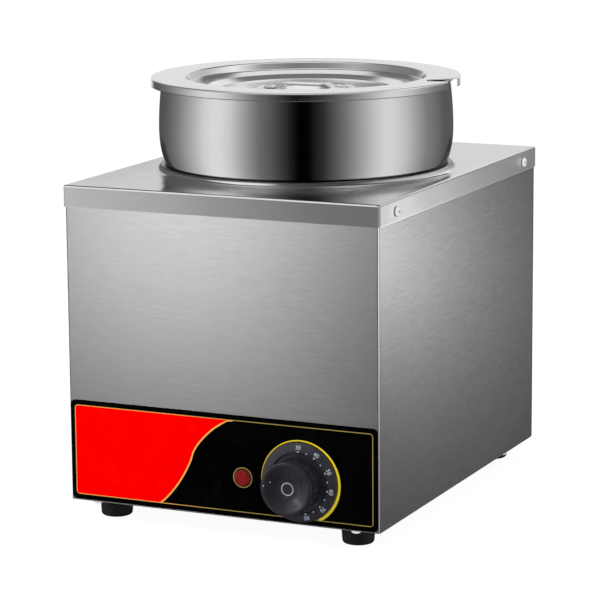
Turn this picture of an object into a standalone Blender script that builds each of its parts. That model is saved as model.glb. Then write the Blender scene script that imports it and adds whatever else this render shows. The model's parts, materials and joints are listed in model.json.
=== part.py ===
"""Countertop bain marie with one round pot, modelled piece by piece.

Frame: X to the right, the control panel faces -Y, Z up from the floor under the feet.
The origin is on the floor, midway between the knob's face and the cable gland's end.
"""

import math

import bmesh
import bpy
from mathutils import Matrix, Vector

# Casing of stainless sheet, in metres
DECK_SIDE_MARGIN = 0.006
DECK_END_MARGIN = 0.039
BODY_HEIGHT = 0.2353
SKIRT_DEPTH = 0.016
SHEET = 0.0007
FOLD_RADIUS = 0.0014
BASE_FLANGE = 0.009
REAR_RETURN = 0.014
RETURN_RELIEF = 0.012
BASE_LIP = 0.010
FIT_GAP = 0.0003
CUT_OVERRUN = 0.004
MERGE = 0.000001

# Raised collar round the pot's hole in the deck
POT_AXIS_Y = -0.005
COLLAR_RAMP = 0.0065
COLLAR_CROWN_RUN = 0.0091
COLLAR_HEIGHT = 0.0037
COLLAR_LIP_CLEARANCE = 0.0006

# Soup pot, heights from the top of the deck
POT_NECK_R = 0.100
POT_NECK_FILLET = 0.0024
POT_BASE_TAPER = 0.003
POT_BASE_CORNER = 0.014
POT_DEPTH = 0.140
POT_BELLY_BULGE = 0.0085
POT_BELLY_HEIGHT = 0.030
POT_TOP_TAPER = 0.0026
POT_WALL = 0.0008
POT_ROLL_R = 0.0010

# Lid, turned-down flange outside and stepped recess inside
LID_OVERHANG = 0.0056
LID_TOP = 0.069
LID_WALL = 0.0007
LID_FLANGE = 0.0062
LID_EDGE_ROUND = 0.0011
LID_RIM_WIDTH = 0.0255
LID_RECESS_ROUND = 0.0016
LID_STEP_RUN = 0.0022
LID_STEP_DROP = 0.0058
LID_SHELF_RUN = 0.0145
LID_SHELF_DROP = 0.0018
LID_SLOPE_RUN = 0.0080
LID_SLOPE_DROP = 0.0027
LID_FILLET = 0.0014
LID_BEAD_R = 0.037
LID_BEAD_WIDTH = 0.0030
LID_BEAD_RISE = 0.0007
LID_DISH_R = 0.024
LID_DISH_RUN = 0.007
LID_DISH_DEPTH = 0.011
LID_DISH_FILLET = 0.004
NOTCH_CORNER = 0.0028
# Corners of the ladle notch, as shares of the lid's radius
NOTCH_CORNER_SHARES = ((0.836, 0.014), (1.06, 0.262), (1.06, -0.018), (0.867, -0.063))

# Strap handle over the middle of the lid
STRAP_LENGTH = 0.062
STRAP_WIDTH = 0.022
STRAP_THICKNESS = 0.0012
STRAP_RISE = 0.0030
STRAP_FOOT = 0.009
STRAP_RAMP = 0.006
STRAP_CORNER = 0.003

# Water tank under the deck
TANK_CLEARANCE = 0.006
TANK_WALL = 0.0008
TANK_DEPTH = 0.174
TANK_FLANGE_WIDTH = 0.013
TANK_CORNER = 0.010
TANK_EDGE = 0.003

# Tubular heating element in the tank
ELEMENT_INSET = 0.034
ELEMENT_TUBE_R = 0.004
ELEMENT_LIFT = 0.013
ELEMENT_LEG_SPACING = 0.026
ELEMENT_BEND_R = 0.007
ELEMENT_LEG_LENGTH = 0.018
ELEMENT_NUT_R = 0.0085
ELEMENT_NUT_THICKNESS = 0.004
ELEMENT_HOLE_CLEARANCE = 0.0008

# Control panel, heights from the shell's lower edge
LABEL_HEIGHT = 0.0751
LABEL_MARGIN = 0.0010
LABEL_THICKNESS = 0.0004
LABEL_CORNER = 0.004
LABEL_SHAFT_HOLE_R = 0.018
LAMP_SPACING = 0.0453
LAMP_HEIGHT = 0.0305
LAMP_LENS_R = 0.0065
LAMP_LENS_DOME = 0.0018
LAMP_LENS_RIM = 0.0006
LAMP_PLUG_R = 0.0040
LAMP_PLUG_LENGTH = 0.004
LAMP_BARREL_R = 0.0052
LAMP_BARREL_LENGTH = 0.022
LAMP_CLIP_R = 0.0085
LAMP_CLIP_THICKNESS = 0.0006
PANEL_HOLE_CLEARANCE = 0.0004
KNOB_INSET = 0.0614
KNOB_HEIGHT = 0.0318
DIAL_R = 0.0292
DIAL_INNER_R = 0.0222
DIAL_RIM_HEIGHT = 0.0020
DIAL_STEP_HEIGHT = 0.0032
DIAL_FLOOR = 0.0012
DIAL_EDGE = 0.0006
DIAL_HOLE_R = 0.0050
KNOB_R = 0.0200
KNOB_WAIST_R = 0.0188
KNOB_LENGTH = 0.0200
KNOB_EDGE = 0.0018
KNOB_DISH_R = 0.0165
KNOB_DISH_DEPTH = 0.0034
KNOB_BACK_CLEARANCE = 0.0032
SHAFT_R = 0.0030
SHAFT_CLEARANCE = 0.0004
SHAFT_GRIP = 0.0140
SHAFT_HOLE_R = 0.0045

# Thermostat behind the panel
THERMOSTAT_WIDTH = 0.040
THERMOSTAT_HEIGHT = 0.028
THERMOSTAT_DEPTH = 0.022
THERMOSTAT_EDGE = 0.0015
THERMOSTAT_SCREW_SPACING = 0.028
THERMOSTAT_SCREW_DEPTH = 0.006
BULB_R = 0.0032
BULB_LENGTH = 0.085
BULB_Y = -0.030
CAPILLARY_R = 0.0010
CLIP_WIDTH = 0.014
CLIP_FOOT = 0.008
CLIP_THICKNESS = 0.0008
CUTOUT_R = 0.0085
CUTOUT_HEIGHT = 0.012
CUTOUT_CAP_R = 0.0060
CUTOUT_X = -0.035
CUTOUT_Y = 0.025

# Screws and nuts
SMALL_SCREW_R = 0.0019
SMALL_HEAD_R = 0.0037
SMALL_HEAD_HEIGHT = 0.0022
SMALL_SCREW_LENGTH = 0.006
SCREW_HOLE_CLEARANCE = 0.0004
SKIRT_SCREW_INSET = 0.0297
SKIRT_SCREW_DROP = 0.0088
BACK_SCREW_INSET = 0.0065
BACK_SCREW_RISE = 0.040
BASE_SCREW_INSET_X = 0.020
BASE_SCREW_INSET_Y = 0.056

# Feet
FOOT_HEIGHT = 0.0142
FOOT_TOP_R = 0.0125
FOOT_BASE_R = 0.0115
FOOT_ROUND = 0.0020
FOOT_INSET_X = 0.0260
FOOT_INSET_Y = 0.0220
FOOT_BORE_R = 0.0055
FOOT_BORE_DEPTH = 0.0065
FOOT_SCREW_R = 0.0024
FOOT_HEAD_R = 0.0044
FOOT_HEAD_HEIGHT = 0.0028
FOOT_SCREW_STAND = 0.0060
FOOT_NUT_R = 0.0046
FOOT_NUT_THICKNESS = 0.0036

# Back panel and base vents
VENT_LENGTH = 0.040
VENT_WIDTH = 0.004
VENT_PITCH = 0.012
VENT_ROWS = 6
VENT_COLUMNS = 2
VENT_COLUMN_PITCH = 0.060
VENT_CENTRE_HEIGHT = 0.150
BASE_VENT_ROWS = 5
GLAND_INSET = 0.049
GLAND_HEIGHT = 0.038
GLAND_FLANGE_R = 0.0105
GLAND_FLANGE_THICKNESS = 0.004
GLAND_DOME_R = 0.0085
GLAND_REACH = 0.015
GLAND_BARREL_R = 0.0075
GLAND_BARREL_LENGTH = 0.012
GLAND_BORE_R = 0.0038
GLAND_NUT_THICKNESS = 0.004

# Wiring hardware on the base
BLOCK_WIDTH = 0.034
BLOCK_DEPTH = 0.018
BLOCK_HEIGHT = 0.016
BLOCK_POLES = 3
BLOCK_WELL = 0.006
BLOCK_WELL_INSET = 0.0022
BLOCK_INSET_X = 0.054
BLOCK_INSET_Y = 0.061
STUD_INSET_X = 0.019
STUD_INSET_Y = 0.051
STUD_LENGTH = 0.016

# Places worked out from the sizes above
POT_SHOULDER_R = POT_NECK_R + POT_NECK_FILLET
POT_BELLY_R = POT_SHOULDER_R + POT_BELLY_BULGE
POT_BASE_R = POT_NECK_R - POT_BASE_TAPER
LID_RADIUS = POT_BELLY_R + LID_OVERHANG
LID_RECESS_R = LID_RADIUS - LID_RIM_WIDTH
COLLAR_CROWN_R = POT_SHOULDER_R + COLLAR_CROWN_RUN
COLLAR_FOOT_R = COLLAR_CROWN_R + COLLAR_RAMP
TANK_R = POT_NECK_R + TANK_CLEARANCE
TANK_FLANGE_R = TANK_R + TANK_FLANGE_WIDTH
ELEMENT_RING_R = TANK_R - ELEMENT_INSET
HALF_DECK_X = TANK_FLANGE_R + DECK_SIDE_MARGIN
HALF_DECK_Y = TANK_FLANGE_R + DECK_END_MARGIN
DECK_WIDTH = HALF_DECK_X * 2
DECK_DEPTH = HALF_DECK_Y * 2
SHELL_X = HALF_DECK_X - SHEET - FIT_GAP
SHELL_FRONT = -(HALF_DECK_Y - SHEET - FIT_GAP)
PANEL_BACK = -SHELL_FRONT
SHELL_BACK = PANEL_BACK - SHEET - FIT_GAP
DECK_TOP = FOOT_HEIGHT + BODY_HEIGHT
SHELL_TOP = DECK_TOP - SHEET - FIT_GAP
BASE_UNDERSIDE = FOOT_HEIGHT + SHEET + FIT_GAP
BASE_TOP = BASE_UNDERSIDE + SHEET
TANK_UNDERSIDE = DECK_TOP - TANK_DEPTH - TANK_WALL
POT_RIM_TOP = LID_TOP - LID_WALL - FIT_GAP
LID_FLOOR = -(LID_STEP_DROP + LID_SHELF_DROP + LID_SLOPE_DROP)
LABEL_WIDTH = (SHELL_X - LABEL_MARGIN) * 2
LABEL_FACE = FIT_GAP + LABEL_THICKNESS
DIAL_BACK = LABEL_FACE + FIT_GAP
KNOB_BACK = DIAL_BACK + DIAL_FLOOR + KNOB_BACK_CLEARANCE
KNOB_FACE = KNOB_BACK + KNOB_LENGTH
GLAND_END = FIT_GAP + GLAND_REACH
CABINET_Y = (KNOB_FACE - GLAND_END) / 2
FOOT_X = SHELL_X - FOOT_INSET_X
FOOT_Y = HALF_DECK_Y - FOOT_INSET_Y - SHEET - FIT_GAP
KNOB_X = SHELL_X - KNOB_INSET
LAMP_X = KNOB_X - LAMP_SPACING
GLAND_X = -(SHELL_X - GLAND_INSET)
BLOCK_X = -(SHELL_X - BLOCK_INSET_X)
BLOCK_Y = SHELL_BACK - BLOCK_INSET_Y
STUD_X = -(SHELL_X - STUD_INSET_X)
STUD_Y = SHELL_BACK - STUD_INSET_Y
SKIRT_SCREW_Y = HALF_DECK_Y - SKIRT_SCREW_INSET
BASE_SCREW_X = SHELL_X - BASE_SCREW_INSET_X
BASE_SCREW_REAR_Y = SHELL_BACK - BASE_SCREW_INSET_Y

# Facets
ROUND_STEPS = 36
TANK_STEPS = 32
KNOB_STEPS = 32
FOOT_STEPS = 16
SCREW_STEPS = 8
HOLE_STEPS = 10
HEX_STEPS = 6
VENT_END_STEPS = 4
ARC_STEPS = 2
FOLD_STEPS = 2

FRONT_TURN = (math.pi / 2, 0, 0)
BACK_TURN = (-math.pi / 2, 0, 0)
RIGHT_TURN = (0, math.pi / 2, 0)
LEFT_TURN = (0, -math.pi / 2, 0)
OVER_TURN = (math.pi, 0, 0)
SMOOTH_ANGLE = math.radians(35)


def clear_scene():
    """Remove the objects that the scene starts with."""
    for item in list(bpy.data.objects):
        bpy.data.objects.remove(item, do_unlink=True)


def finish(name, color, roughness, metallic):
    """Make a plain material of one colour, roughness and metallic value."""
    material = bpy.data.materials.new(name)
    material.use_nodes = True
    shader = material.node_tree.nodes["Principled BSDF"]
    shader.inputs["Base Color"].default_value = (*color, 1.0)
    shader.inputs["Roughness"].default_value = roughness
    shader.inputs["Metallic"].default_value = metallic
    material.diffuse_color = (*color, 1.0)
    return material


def add_empty(name, parent=None, location=(0, 0, 0), turn=(0, 0, 0)):
    """Add an empty that carries the pieces of one axis."""
    holder = bpy.data.objects.new(name, None)
    bpy.context.scene.collection.objects.link(holder)
    holder.parent = parent
    holder.location = location
    holder.rotation_euler = turn
    return holder


def add_piece(name, bm, material, parent, location=(0, 0, 0), turn=(0, 0, 0)):
    """Turn a bmesh into a named piece at a place under its parent."""
    mesh = bpy.data.meshes.new(name)
    bm.to_mesh(mesh)
    bm.free()
    mesh.materials.append(material)
    mesh.shade_smooth()
    mesh.set_sharp_from_angle(angle=SMOOTH_ANGLE)
    piece = bpy.data.objects.new(name, mesh)
    bpy.context.scene.collection.objects.link(piece)
    piece.parent = parent
    piece.location = location
    piece.rotation_euler = turn
    return piece


def fold_sheet(piece, thickness):
    """Give a piece's outer surface the thickness of its sheet, inwards."""
    wall = piece.modifiers.new("sheet", "SOLIDIFY")
    wall.thickness = thickness
    wall.offset = -1.0
    wall.use_even_offset = True
    return wall


def punch(piece, tool):
    """Cut the closed shapes of a bmesh, in the piece's own frame, from the piece."""
    mesh = bpy.data.meshes.new(piece.name + "_cutter")
    tool.to_mesh(mesh)
    tool.free()
    cutter = bpy.data.objects.new(piece.name + "_cutter", mesh)
    bpy.context.scene.collection.objects.link(cutter)
    cutter.parent = piece
    cutter.hide_render = True
    cutter.display_type = "WIRE"
    cut = piece.modifiers.new("holes", "BOOLEAN")
    cut.operation = "DIFFERENCE"
    cut.solver = "EXACT"
    cut.object = cutter


def filleted(corners, steps=ARC_STEPS):
    """Round the corners of a chain of (x, z, radius) and return its (x, z) points."""
    points = []
    for index, (x, z, radius) in enumerate(corners):
        here = Vector((x, z))
        if radius == 0 or index in (0, len(corners) - 1):
            points.append((x, z))
            continue
        before = Vector(corners[index - 1][:2]) - here
        after = Vector(corners[index + 1][:2]) - here
        half = before.angle(after) / 2
        reach = min(radius / math.tan(half), before.length * 0.49, after.length * 0.49)
        centre = here + (before.normalized() + after.normalized()).normalized() * (reach / math.cos(half))
        start = here + before.normalized() * reach - centre
        end = here + after.normalized() * reach - centre
        sweep = start.angle_signed(end)
        for step in range(steps + 1):
            angle = sweep * step / steps
            spoke = Vector((
                start.x * math.cos(angle) + start.y * math.sin(angle),
                start.y * math.cos(angle) - start.x * math.sin(angle),
            ))
            points.append(tuple(centre + spoke))
    return points


def walled(chain, wall):
    """Add to a chain of points its copy moved to the left by the wall, and close it."""
    moved = []
    for index, point in enumerate(chain):
        here = Vector(point)
        sides = []
        if index > 0:
            sides.append((here - Vector(chain[index - 1])).normalized())
        if index < len(chain) - 1:
            sides.append((Vector(chain[index + 1]) - here).normalized())
        normals = [Vector((-side.y, side.x)) for side in sides]
        mitre = sum(normals, Vector((0, 0))).normalized()
        reach = wall / mitre.dot(normals[0])
        spot = here + mitre * reach
        if here.x == 0:
            spot.x = 0
        moved.append(tuple(spot))
    return list(chain) + moved[::-1]


def turned(profile, steps, closed=True):
    """Turn a profile of (radius, height) points about Z into a closed body."""
    bm = bmesh.new()
    verts = [bm.verts.new((radius, 0, height)) for radius, height in profile]
    edges = [bm.edges.new(pair) for pair in zip(verts, verts[1:])]
    if closed:
        edges.append(bm.edges.new((verts[-1], verts[0])))
    bmesh.ops.spin(
        bm, geom=verts + edges, cent=(0, 0, 0), axis=(0, 0, 1), angle=math.tau, steps=steps, use_merge=True
    )
    bmesh.ops.remove_doubles(bm, verts=bm.verts, dist=MERGE)
    bmesh.ops.recalc_face_normals(bm, faces=bm.faces)
    return bm


def add_rod(bm, radius, low, high, place, steps=HOLE_STEPS):
    """Add a closed rod from low to high along its own Z, at a place."""
    centre = place @ Matrix.Translation((0, 0, (low + high) / 2))
    bmesh.ops.create_cone(
        bm, cap_ends=True, segments=steps, radius1=radius, radius2=radius, depth=high - low, matrix=centre
    )


def add_obround(bm, length, width, low, high, place):
    """Add a closed prism with round ends, long along its own X."""
    straight = (length - width) / 2
    outline = []
    for side in (1, -1):
        for step in range(VENT_END_STEPS + 1):
            angle = math.pi * (step / VENT_END_STEPS - 1 / 2) + (0 if side == 1 else math.pi)
            outline.append((side * straight + width / 2 * math.cos(angle), width / 2 * math.sin(angle)))
    add_prism(bm, outline, low, high, place)


def add_prism(bm, outline, low, high, place=Matrix()):
    """Extrude an outline of (x, y) points from low to high along Z."""
    verts = [bm.verts.new(place @ Vector((x, y, low))) for x, y in outline]
    base = bm.faces.new(verts)
    raised = bmesh.ops.extrude_face_region(bm, geom=[base])
    moved = [item for item in raised["geom"] if isinstance(item, bmesh.types.BMVert)]
    bmesh.ops.translate(bm, verts=moved, vec=place.to_3x3() @ Vector((0, 0, high - low)))
    bmesh.ops.recalc_face_normals(bm, faces=bm.faces)


def rounded_box(width, depth, low, high, edge):
    """Make a block centred on Z with its edges rounded."""
    bm = bmesh.new()
    outline = [(sx * width / 2, sy * depth / 2) for sx, sy in ((1, 1), (-1, 1), (-1, -1), (1, -1))]
    add_prism(bm, outline, low, high)
    bmesh.ops.bevel(bm, geom=bm.edges, offset=edge, segments=FOLD_STEPS, profile=0.5, affect="EDGES")
    return bm


def open_box(width, depth, low, high, open_top):
    """Make the outer surface of a folded pan that is open above or below."""
    bm = bmesh.new()
    outline = [(sx * width / 2, sy * depth / 2) for sx, sy in ((1, 1), (-1, 1), (-1, -1), (1, -1))]
    add_prism(bm, outline, low, high)
    level = high if open_top else low
    mouth = [face for face in bm.faces if abs(face.calc_center_median().z - level) < MERGE]
    bmesh.ops.delete(bm, geom=mouth, context="FACES")
    folds = [edge for edge in bm.edges if len(edge.link_faces) == 2]
    bmesh.ops.bevel(bm, geom=folds, offset=FOLD_RADIUS, segments=FOLD_STEPS, profile=0.5, affect="EDGES")
    return bm


def screw_mesh(radius, length, head_r, head_height):
    """Make a pan-head screw whose head sits on Z = 0 and whose shank runs down."""
    profile = [
        (0, head_height),
        (head_r * 0.62, head_height * 0.93),
        (head_r * 0.92, head_height * 0.60),
        (head_r, 0),
        (radius, 0),
        (radius, -length),
        (0, -length),
    ]
    return turned(profile, SCREW_STEPS, closed=False)


def small_screw(name, material, parent, location, turn):
    """Place one of the casing's small pan-head screws."""
    bm = screw_mesh(SMALL_SCREW_R, SMALL_SCREW_LENGTH, SMALL_HEAD_R, SMALL_HEAD_HEIGHT)
    return add_piece(name, bm, material, parent, location, turn)


def nut_mesh(outer, bore, thickness):
    """Make a hexagon nut that stands on Z = 0."""
    profile = [(outer, 0), (outer, thickness), (bore, thickness), (bore, 0)]
    return turned(profile, HEX_STEPS)


def bore_for(radius):
    """Give the corner radius of a hexagon bore that clears a round shank."""
    return (radius + FIT_GAP) / math.cos(math.pi / HEX_STEPS)


def collar_rings():
    """List the rings of the deck's collar from its foot to its lip, as radius and height."""
    rise = COLLAR_FOOT_R - COLLAR_CROWN_R
    lip = POT_SHOULDER_R + COLLAR_LIP_CLEARANCE
    fall = COLLAR_CROWN_R - lip
    drop = COLLAR_HEIGHT + FIT_GAP
    rise_shares = ((0, 0), (0.38, 0.09), (0.60, 0.36), (0.72, 0.72), (0.85, 0.92), (1, 1))
    fall_shares = ((0.38, 0.14), (0.72, 0.52), (1, 1))
    rings = [(COLLAR_FOOT_R - rise * run, COLLAR_HEIGHT * up) for run, up in rise_shares]
    rings += [(COLLAR_CROWN_R - fall * run, COLLAR_HEIGHT - drop * down) for run, down in fall_shares]
    return rings


def build_deck(steel, cabinet):
    """Fold the deck pan and press the collar up out of its top."""
    bm = open_box(DECK_WIDTH, DECK_DEPTH, DECK_TOP - SKIRT_DEPTH, DECK_TOP, open_top=False)
    top = max(bm.faces, key=lambda face: face.calc_area() if face.normal.z > 0.99 else 0)
    outer_edges = list(top.edges)
    bmesh.ops.delete(bm, geom=[top], context="FACES_ONLY")
    inner_edges = None
    previous = None
    for radius, height in collar_rings():
        ring = []
        for step in range(ROUND_STEPS):
            angle = math.tau * step / ROUND_STEPS
            spot = (radius * math.cos(angle), POT_AXIS_Y + radius * math.sin(angle), DECK_TOP + height)
            ring.append(bm.verts.new(spot))
        pairs = list(zip(ring, ring[1:] + ring[:1]))
        if previous is None:
            inner_edges = [bm.edges.new(pair) for pair in pairs]
        else:
            for (a, b), (c, d) in zip(previous, pairs):
                bm.faces.new((a, b, d, c))
        previous = pairs
    bmesh.ops.bridge_loops(bm, edges=outer_edges + inner_edges)
    bmesh.ops.recalc_face_normals(bm, faces=bm.faces)
    bm.faces.ensure_lookup_table()
    skirt = max(bm.faces, key=lambda face: face.calc_center_median().x)
    if skirt.normal.x < 0:
        bmesh.ops.reverse_faces(bm, faces=bm.faces)
    deck = add_piece("top_deck", bm, steel, cabinet)
    fold_sheet(deck, SHEET)
    tool = bmesh.new()
    for side in (1, -1):
        for y in (SKIRT_SCREW_Y, -SKIRT_SCREW_Y):
            place = Matrix.Translation((side * HALF_DECK_X, y, DECK_TOP - SKIRT_SCREW_DROP))
            place = place @ Matrix.Rotation(math.pi / 2, 4, "Y")
            add_rod(tool, SMALL_SCREW_R + SCREW_HOLE_CLEARANCE, -CUT_OVERRUN, CUT_OVERRUN, place)
    punch(deck, tool)


def build_shell(steel, cabinet):
    """Fold the casing's front and sides with the base flange and the rear returns."""
    bm = bmesh.new()
    low, high = FOOT_HEIGHT, SHELL_TOP
    relief = low + RETURN_RELIEF
    front, back = SHELL_FRONT, SHELL_BACK
    inner = SHELL_X - BASE_FLANGE
    verts = {}

    def corner(x, y, z):
        key = (x, y, z)
        if key not in verts:
            verts[key] = bm.verts.new(key)
        return verts[key]

    def face(*spots):
        bm.faces.new([corner(*spot) for spot in spots])

    face((-SHELL_X, front, low), (SHELL_X, front, low), (SHELL_X, front, high), (-SHELL_X, front, high))
    face((-SHELL_X, front, low), (-inner, front + BASE_FLANGE, low), (inner, front + BASE_FLANGE, low),
         (SHELL_X, front, low))
    for side in (1, -1):
        x = side * SHELL_X
        face((x, front, low), (x, back, low), (x, back, relief), (x, back, high), (x, front, high))
        face((x, front, low), (side * inner, front + BASE_FLANGE, low), (side * inner, back, low),
             (x, back, low))
        edge = x - side * REAR_RETURN
        face((x, back, relief), (edge, back, relief), (edge, back, high), (x, back, high))
    bmesh.ops.recalc_face_normals(bm, faces=bm.faces)
    bm.normal_update()
    folds = [
        line for line in bm.edges
        if len(line.link_faces) == 2 and line.calc_face_angle(0) > SMOOTH_ANGLE
    ]
    bmesh.ops.bevel(bm, geom=folds, offset=FOLD_RADIUS, segments=FOLD_STEPS, profile=0.5, affect="EDGES")
    bm.normal_update()
    wall = max(bm.faces, key=lambda item: item.calc_area())
    outward = wall.calc_center_median()
    if wall.normal.dot(Vector((outward.x, 0, 0))) < 0:
        bmesh.ops.reverse_faces(bm, faces=bm.faces)
    shell = add_piece("outer_shell", bm, steel, cabinet)
    fold_sheet(shell, SHEET)

    tool = bmesh.new()
    panel_turn = Matrix.Rotation(math.pi / 2, 4, "X")
    lamp = Matrix.Translation((LAMP_X, front, low + LAMP_HEIGHT)) @ panel_turn
    add_rod(tool, LAMP_BARREL_R + PANEL_HOLE_CLEARANCE, -CUT_OVERRUN, CUT_OVERRUN, lamp)
    shaft = Matrix.Translation((KNOB_X, front, low + KNOB_HEIGHT)) @ panel_turn
    add_rod(tool, SHAFT_HOLE_R, -CUT_OVERRUN, CUT_OVERRUN, shaft)
    hole = SMALL_SCREW_R + SCREW_HOLE_CLEARANCE
    for side in (1, -1):
        spot = shaft @ Matrix.Translation((side * THERMOSTAT_SCREW_SPACING / 2, 0, 0))
        add_rod(tool, hole, -CUT_OVERRUN, CUT_OVERRUN, spot)
        across = Matrix.Rotation(math.pi / 2, 4, "Y")
        for y in (SKIRT_SCREW_Y, -SKIRT_SCREW_Y):
            spot = Matrix.Translation((side * SHELL_X, y, DECK_TOP - SKIRT_SCREW_DROP)) @ across
            add_rod(tool, hole, -CUT_OVERRUN, CUT_OVERRUN, spot)
        for z in back_screw_heights():
            spot = Matrix.Translation((side * (SHELL_X - BACK_SCREW_INSET), back, z)) @ panel_turn
            add_rod(tool, hole, -CUT_OVERRUN, CUT_OVERRUN, spot)
    for x, y in base_screw_places():
        add_rod(tool, hole, -CUT_OVERRUN, CUT_OVERRUN, Matrix.Translation((x, y, low)))
    punch(shell, tool)


def back_screw_heights():
    """Give the heights of the back panel's screws."""
    return (FOOT_HEIGHT + BACK_SCREW_RISE, SHELL_TOP - BACK_SCREW_RISE)


def base_screw_places():
    """Give the places of the screws that hold the base to its flange."""
    front_y = SHELL_FRONT + BASE_FLANGE / 2
    rear_x = SHELL_X - BASE_FLANGE / 2
    return (
        (BASE_SCREW_X, front_y),
        (-BASE_SCREW_X, front_y),
        (rear_x, BASE_SCREW_REAR_Y),
        (-rear_x, BASE_SCREW_REAR_Y),
    )


def foot_places():
    """Give each foot's name ending and its place."""
    return (
        ("front_right", FOOT_X, -FOOT_Y),
        ("front_left", -FOOT_X, -FOOT_Y),
        ("rear_right", FOOT_X, FOOT_Y),
        ("rear_left", -FOOT_X, FOOT_Y),
    )


def build_back(steel, cabinet):
    """Make the flat back panel with its vents, its gland hole and its screw holes."""
    bm = bmesh.new()
    half = SHELL_X - FIT_GAP
    outline = [(-half, PANEL_BACK - SHEET), (half, PANEL_BACK - SHEET), (half, PANEL_BACK), (-half, PANEL_BACK)]
    add_prism(bm, outline, FOOT_HEIGHT + FIT_GAP, SHELL_TOP)
    panel = add_piece("back_panel", bm, steel, cabinet)
    tool = bmesh.new()
    turn = Matrix.Rotation(math.pi / 2, 4, "X")
    for column in range(VENT_COLUMNS):
        x = (column - (VENT_COLUMNS - 1) / 2) * VENT_COLUMN_PITCH
        for row in range(VENT_ROWS):
            z = FOOT_HEIGHT + VENT_CENTRE_HEIGHT + (row - (VENT_ROWS - 1) / 2) * VENT_PITCH
            place = Matrix.Translation((x, PANEL_BACK, z)) @ turn
            add_obround(tool, VENT_LENGTH, VENT_WIDTH, -CUT_OVERRUN, CUT_OVERRUN, place)
    gland = Matrix.Translation((GLAND_X, PANEL_BACK, FOOT_HEIGHT + GLAND_HEIGHT)) @ turn
    add_rod(tool, GLAND_BARREL_R + PANEL_HOLE_CLEARANCE, -CUT_OVERRUN, CUT_OVERRUN, gland, FOOT_STEPS)
    for side in (1, -1):
        for z in back_screw_heights():
            spot = Matrix.Translation((side * (SHELL_X - BACK_SCREW_INSET), PANEL_BACK, z)) @ turn
            add_rod(tool, SMALL_SCREW_R + SCREW_HOLE_CLEARANCE, -CUT_OVERRUN, CUT_OVERRUN, spot)
    punch(panel, tool)


def build_base(steel, cabinet):
    """Make the base pan that lies on the shell's flange."""
    width = (SHELL_X - SHEET - FIT_GAP) * 2
    front = SHELL_FRONT + SHEET + FIT_GAP
    back = SHELL_BACK - SHEET - FIT_GAP
    bm = open_box(width, back - front, BASE_UNDERSIDE, BASE_UNDERSIDE + BASE_LIP, open_top=True)
    bmesh.ops.translate(bm, verts=bm.verts, vec=(0, (front + back) / 2, 0))
    bmesh.ops.recalc_face_normals(bm, faces=bm.faces)
    bm.normal_update()
    floor = min(bm.faces, key=lambda item: item.calc_center_median().z)
    if floor.normal.z > 0:
        bmesh.ops.reverse_faces(bm, faces=bm.faces)
    base = add_piece("bottom_plate", bm, steel, cabinet)
    fold_sheet(base, SHEET)
    tool = bmesh.new()
    for _, x, y in foot_places():
        place = Matrix.Translation((x, y, BASE_UNDERSIDE))
        add_rod(tool, FOOT_SCREW_R + SCREW_HOLE_CLEARANCE, -CUT_OVERRUN, CUT_OVERRUN, place)
    for x, y in base_screw_places():
        place = Matrix.Translation((x, y, BASE_UNDERSIDE))
        add_rod(tool, SMALL_SCREW_R + SCREW_HOLE_CLEARANCE, -CUT_OVERRUN, CUT_OVERRUN, place)
    for row in range(BASE_VENT_ROWS):
        y = (row - (BASE_VENT_ROWS - 1) / 2) * VENT_PITCH
        place = Matrix.Translation((0, y, BASE_UNDERSIDE))
        add_obround(tool, VENT_LENGTH, VENT_WIDTH, -CUT_OVERRUN, CUT_OVERRUN, place)
    punch(base, tool)


def build_tank(steel, pot_axis):
    """Draw the water tank that hangs by its flange under the deck."""
    top = -(SHEET + FIT_GAP)
    chain = filleted([
        (0, -TANK_DEPTH, 0),
        (TANK_R, -TANK_DEPTH, TANK_CORNER),
        (TANK_R, top, TANK_EDGE),
        (TANK_FLANGE_R, top, 0),
    ])
    bm = turned(walled(chain, -TANK_WALL), TANK_STEPS, closed=False)
    tank = add_piece("water_tank", bm, steel, pot_axis)
    tool = bmesh.new()
    for x, y in element_legs():
        place = Matrix.Translation((x, y, -TANK_DEPTH))
        add_rod(tool, ELEMENT_TUBE_R + ELEMENT_HOLE_CLEARANCE, -CUT_OVERRUN, CUT_OVERRUN, place)
    punch(tank, tool)


def build_pot(steel, pot_axis):
    """Spin the soup pot: base, neck, shoulder, belly and rolled rim."""
    chain = filleted([
        (0, -POT_DEPTH, 0),
        (POT_BASE_R, -POT_DEPTH, POT_BASE_CORNER),
        (POT_NECK_R, -POT_NECK_FILLET, 0),
    ])
    shoulder_steps = 5
    for step in range(1, ARC_STEPS + 1):
        angle = math.pi / 2 * step / ARC_STEPS
        chain.append((
            POT_SHOULDER_R - POT_NECK_FILLET * math.cos(angle),
            POT_NECK_FILLET * (math.sin(angle) - 1),
        ))
    for step in range(1, shoulder_steps + 1):
        angle = math.pi / 2 * step / shoulder_steps
        chain.append((
            POT_SHOULDER_R + POT_BELLY_BULGE * math.sin(angle),
            POT_BELLY_HEIGHT * (1 - math.cos(angle)),
        ))
    roll_height = POT_RIM_TOP - POT_WALL - POT_ROLL_R
    upper_steps = 3
    for step in range(1, upper_steps + 1):
        share = step / upper_steps
        height = POT_BELLY_HEIGHT + (roll_height - POT_BELLY_HEIGHT) * share
        chain.append((POT_BELLY_R - POT_TOP_TAPER * share * share, height))
    roll_centre = POT_BELLY_R - POT_TOP_TAPER + POT_ROLL_R
    for degrees in (135, 90, 45, -10):
        angle = math.radians(degrees)
        chain.append((roll_centre + POT_ROLL_R * math.cos(angle), roll_height + POT_ROLL_R * math.sin(angle)))
    bm = turned(walled(chain, POT_WALL), ROUND_STEPS, closed=False)
    add_piece("soup_pot", bm, steel, pot_axis)


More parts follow.
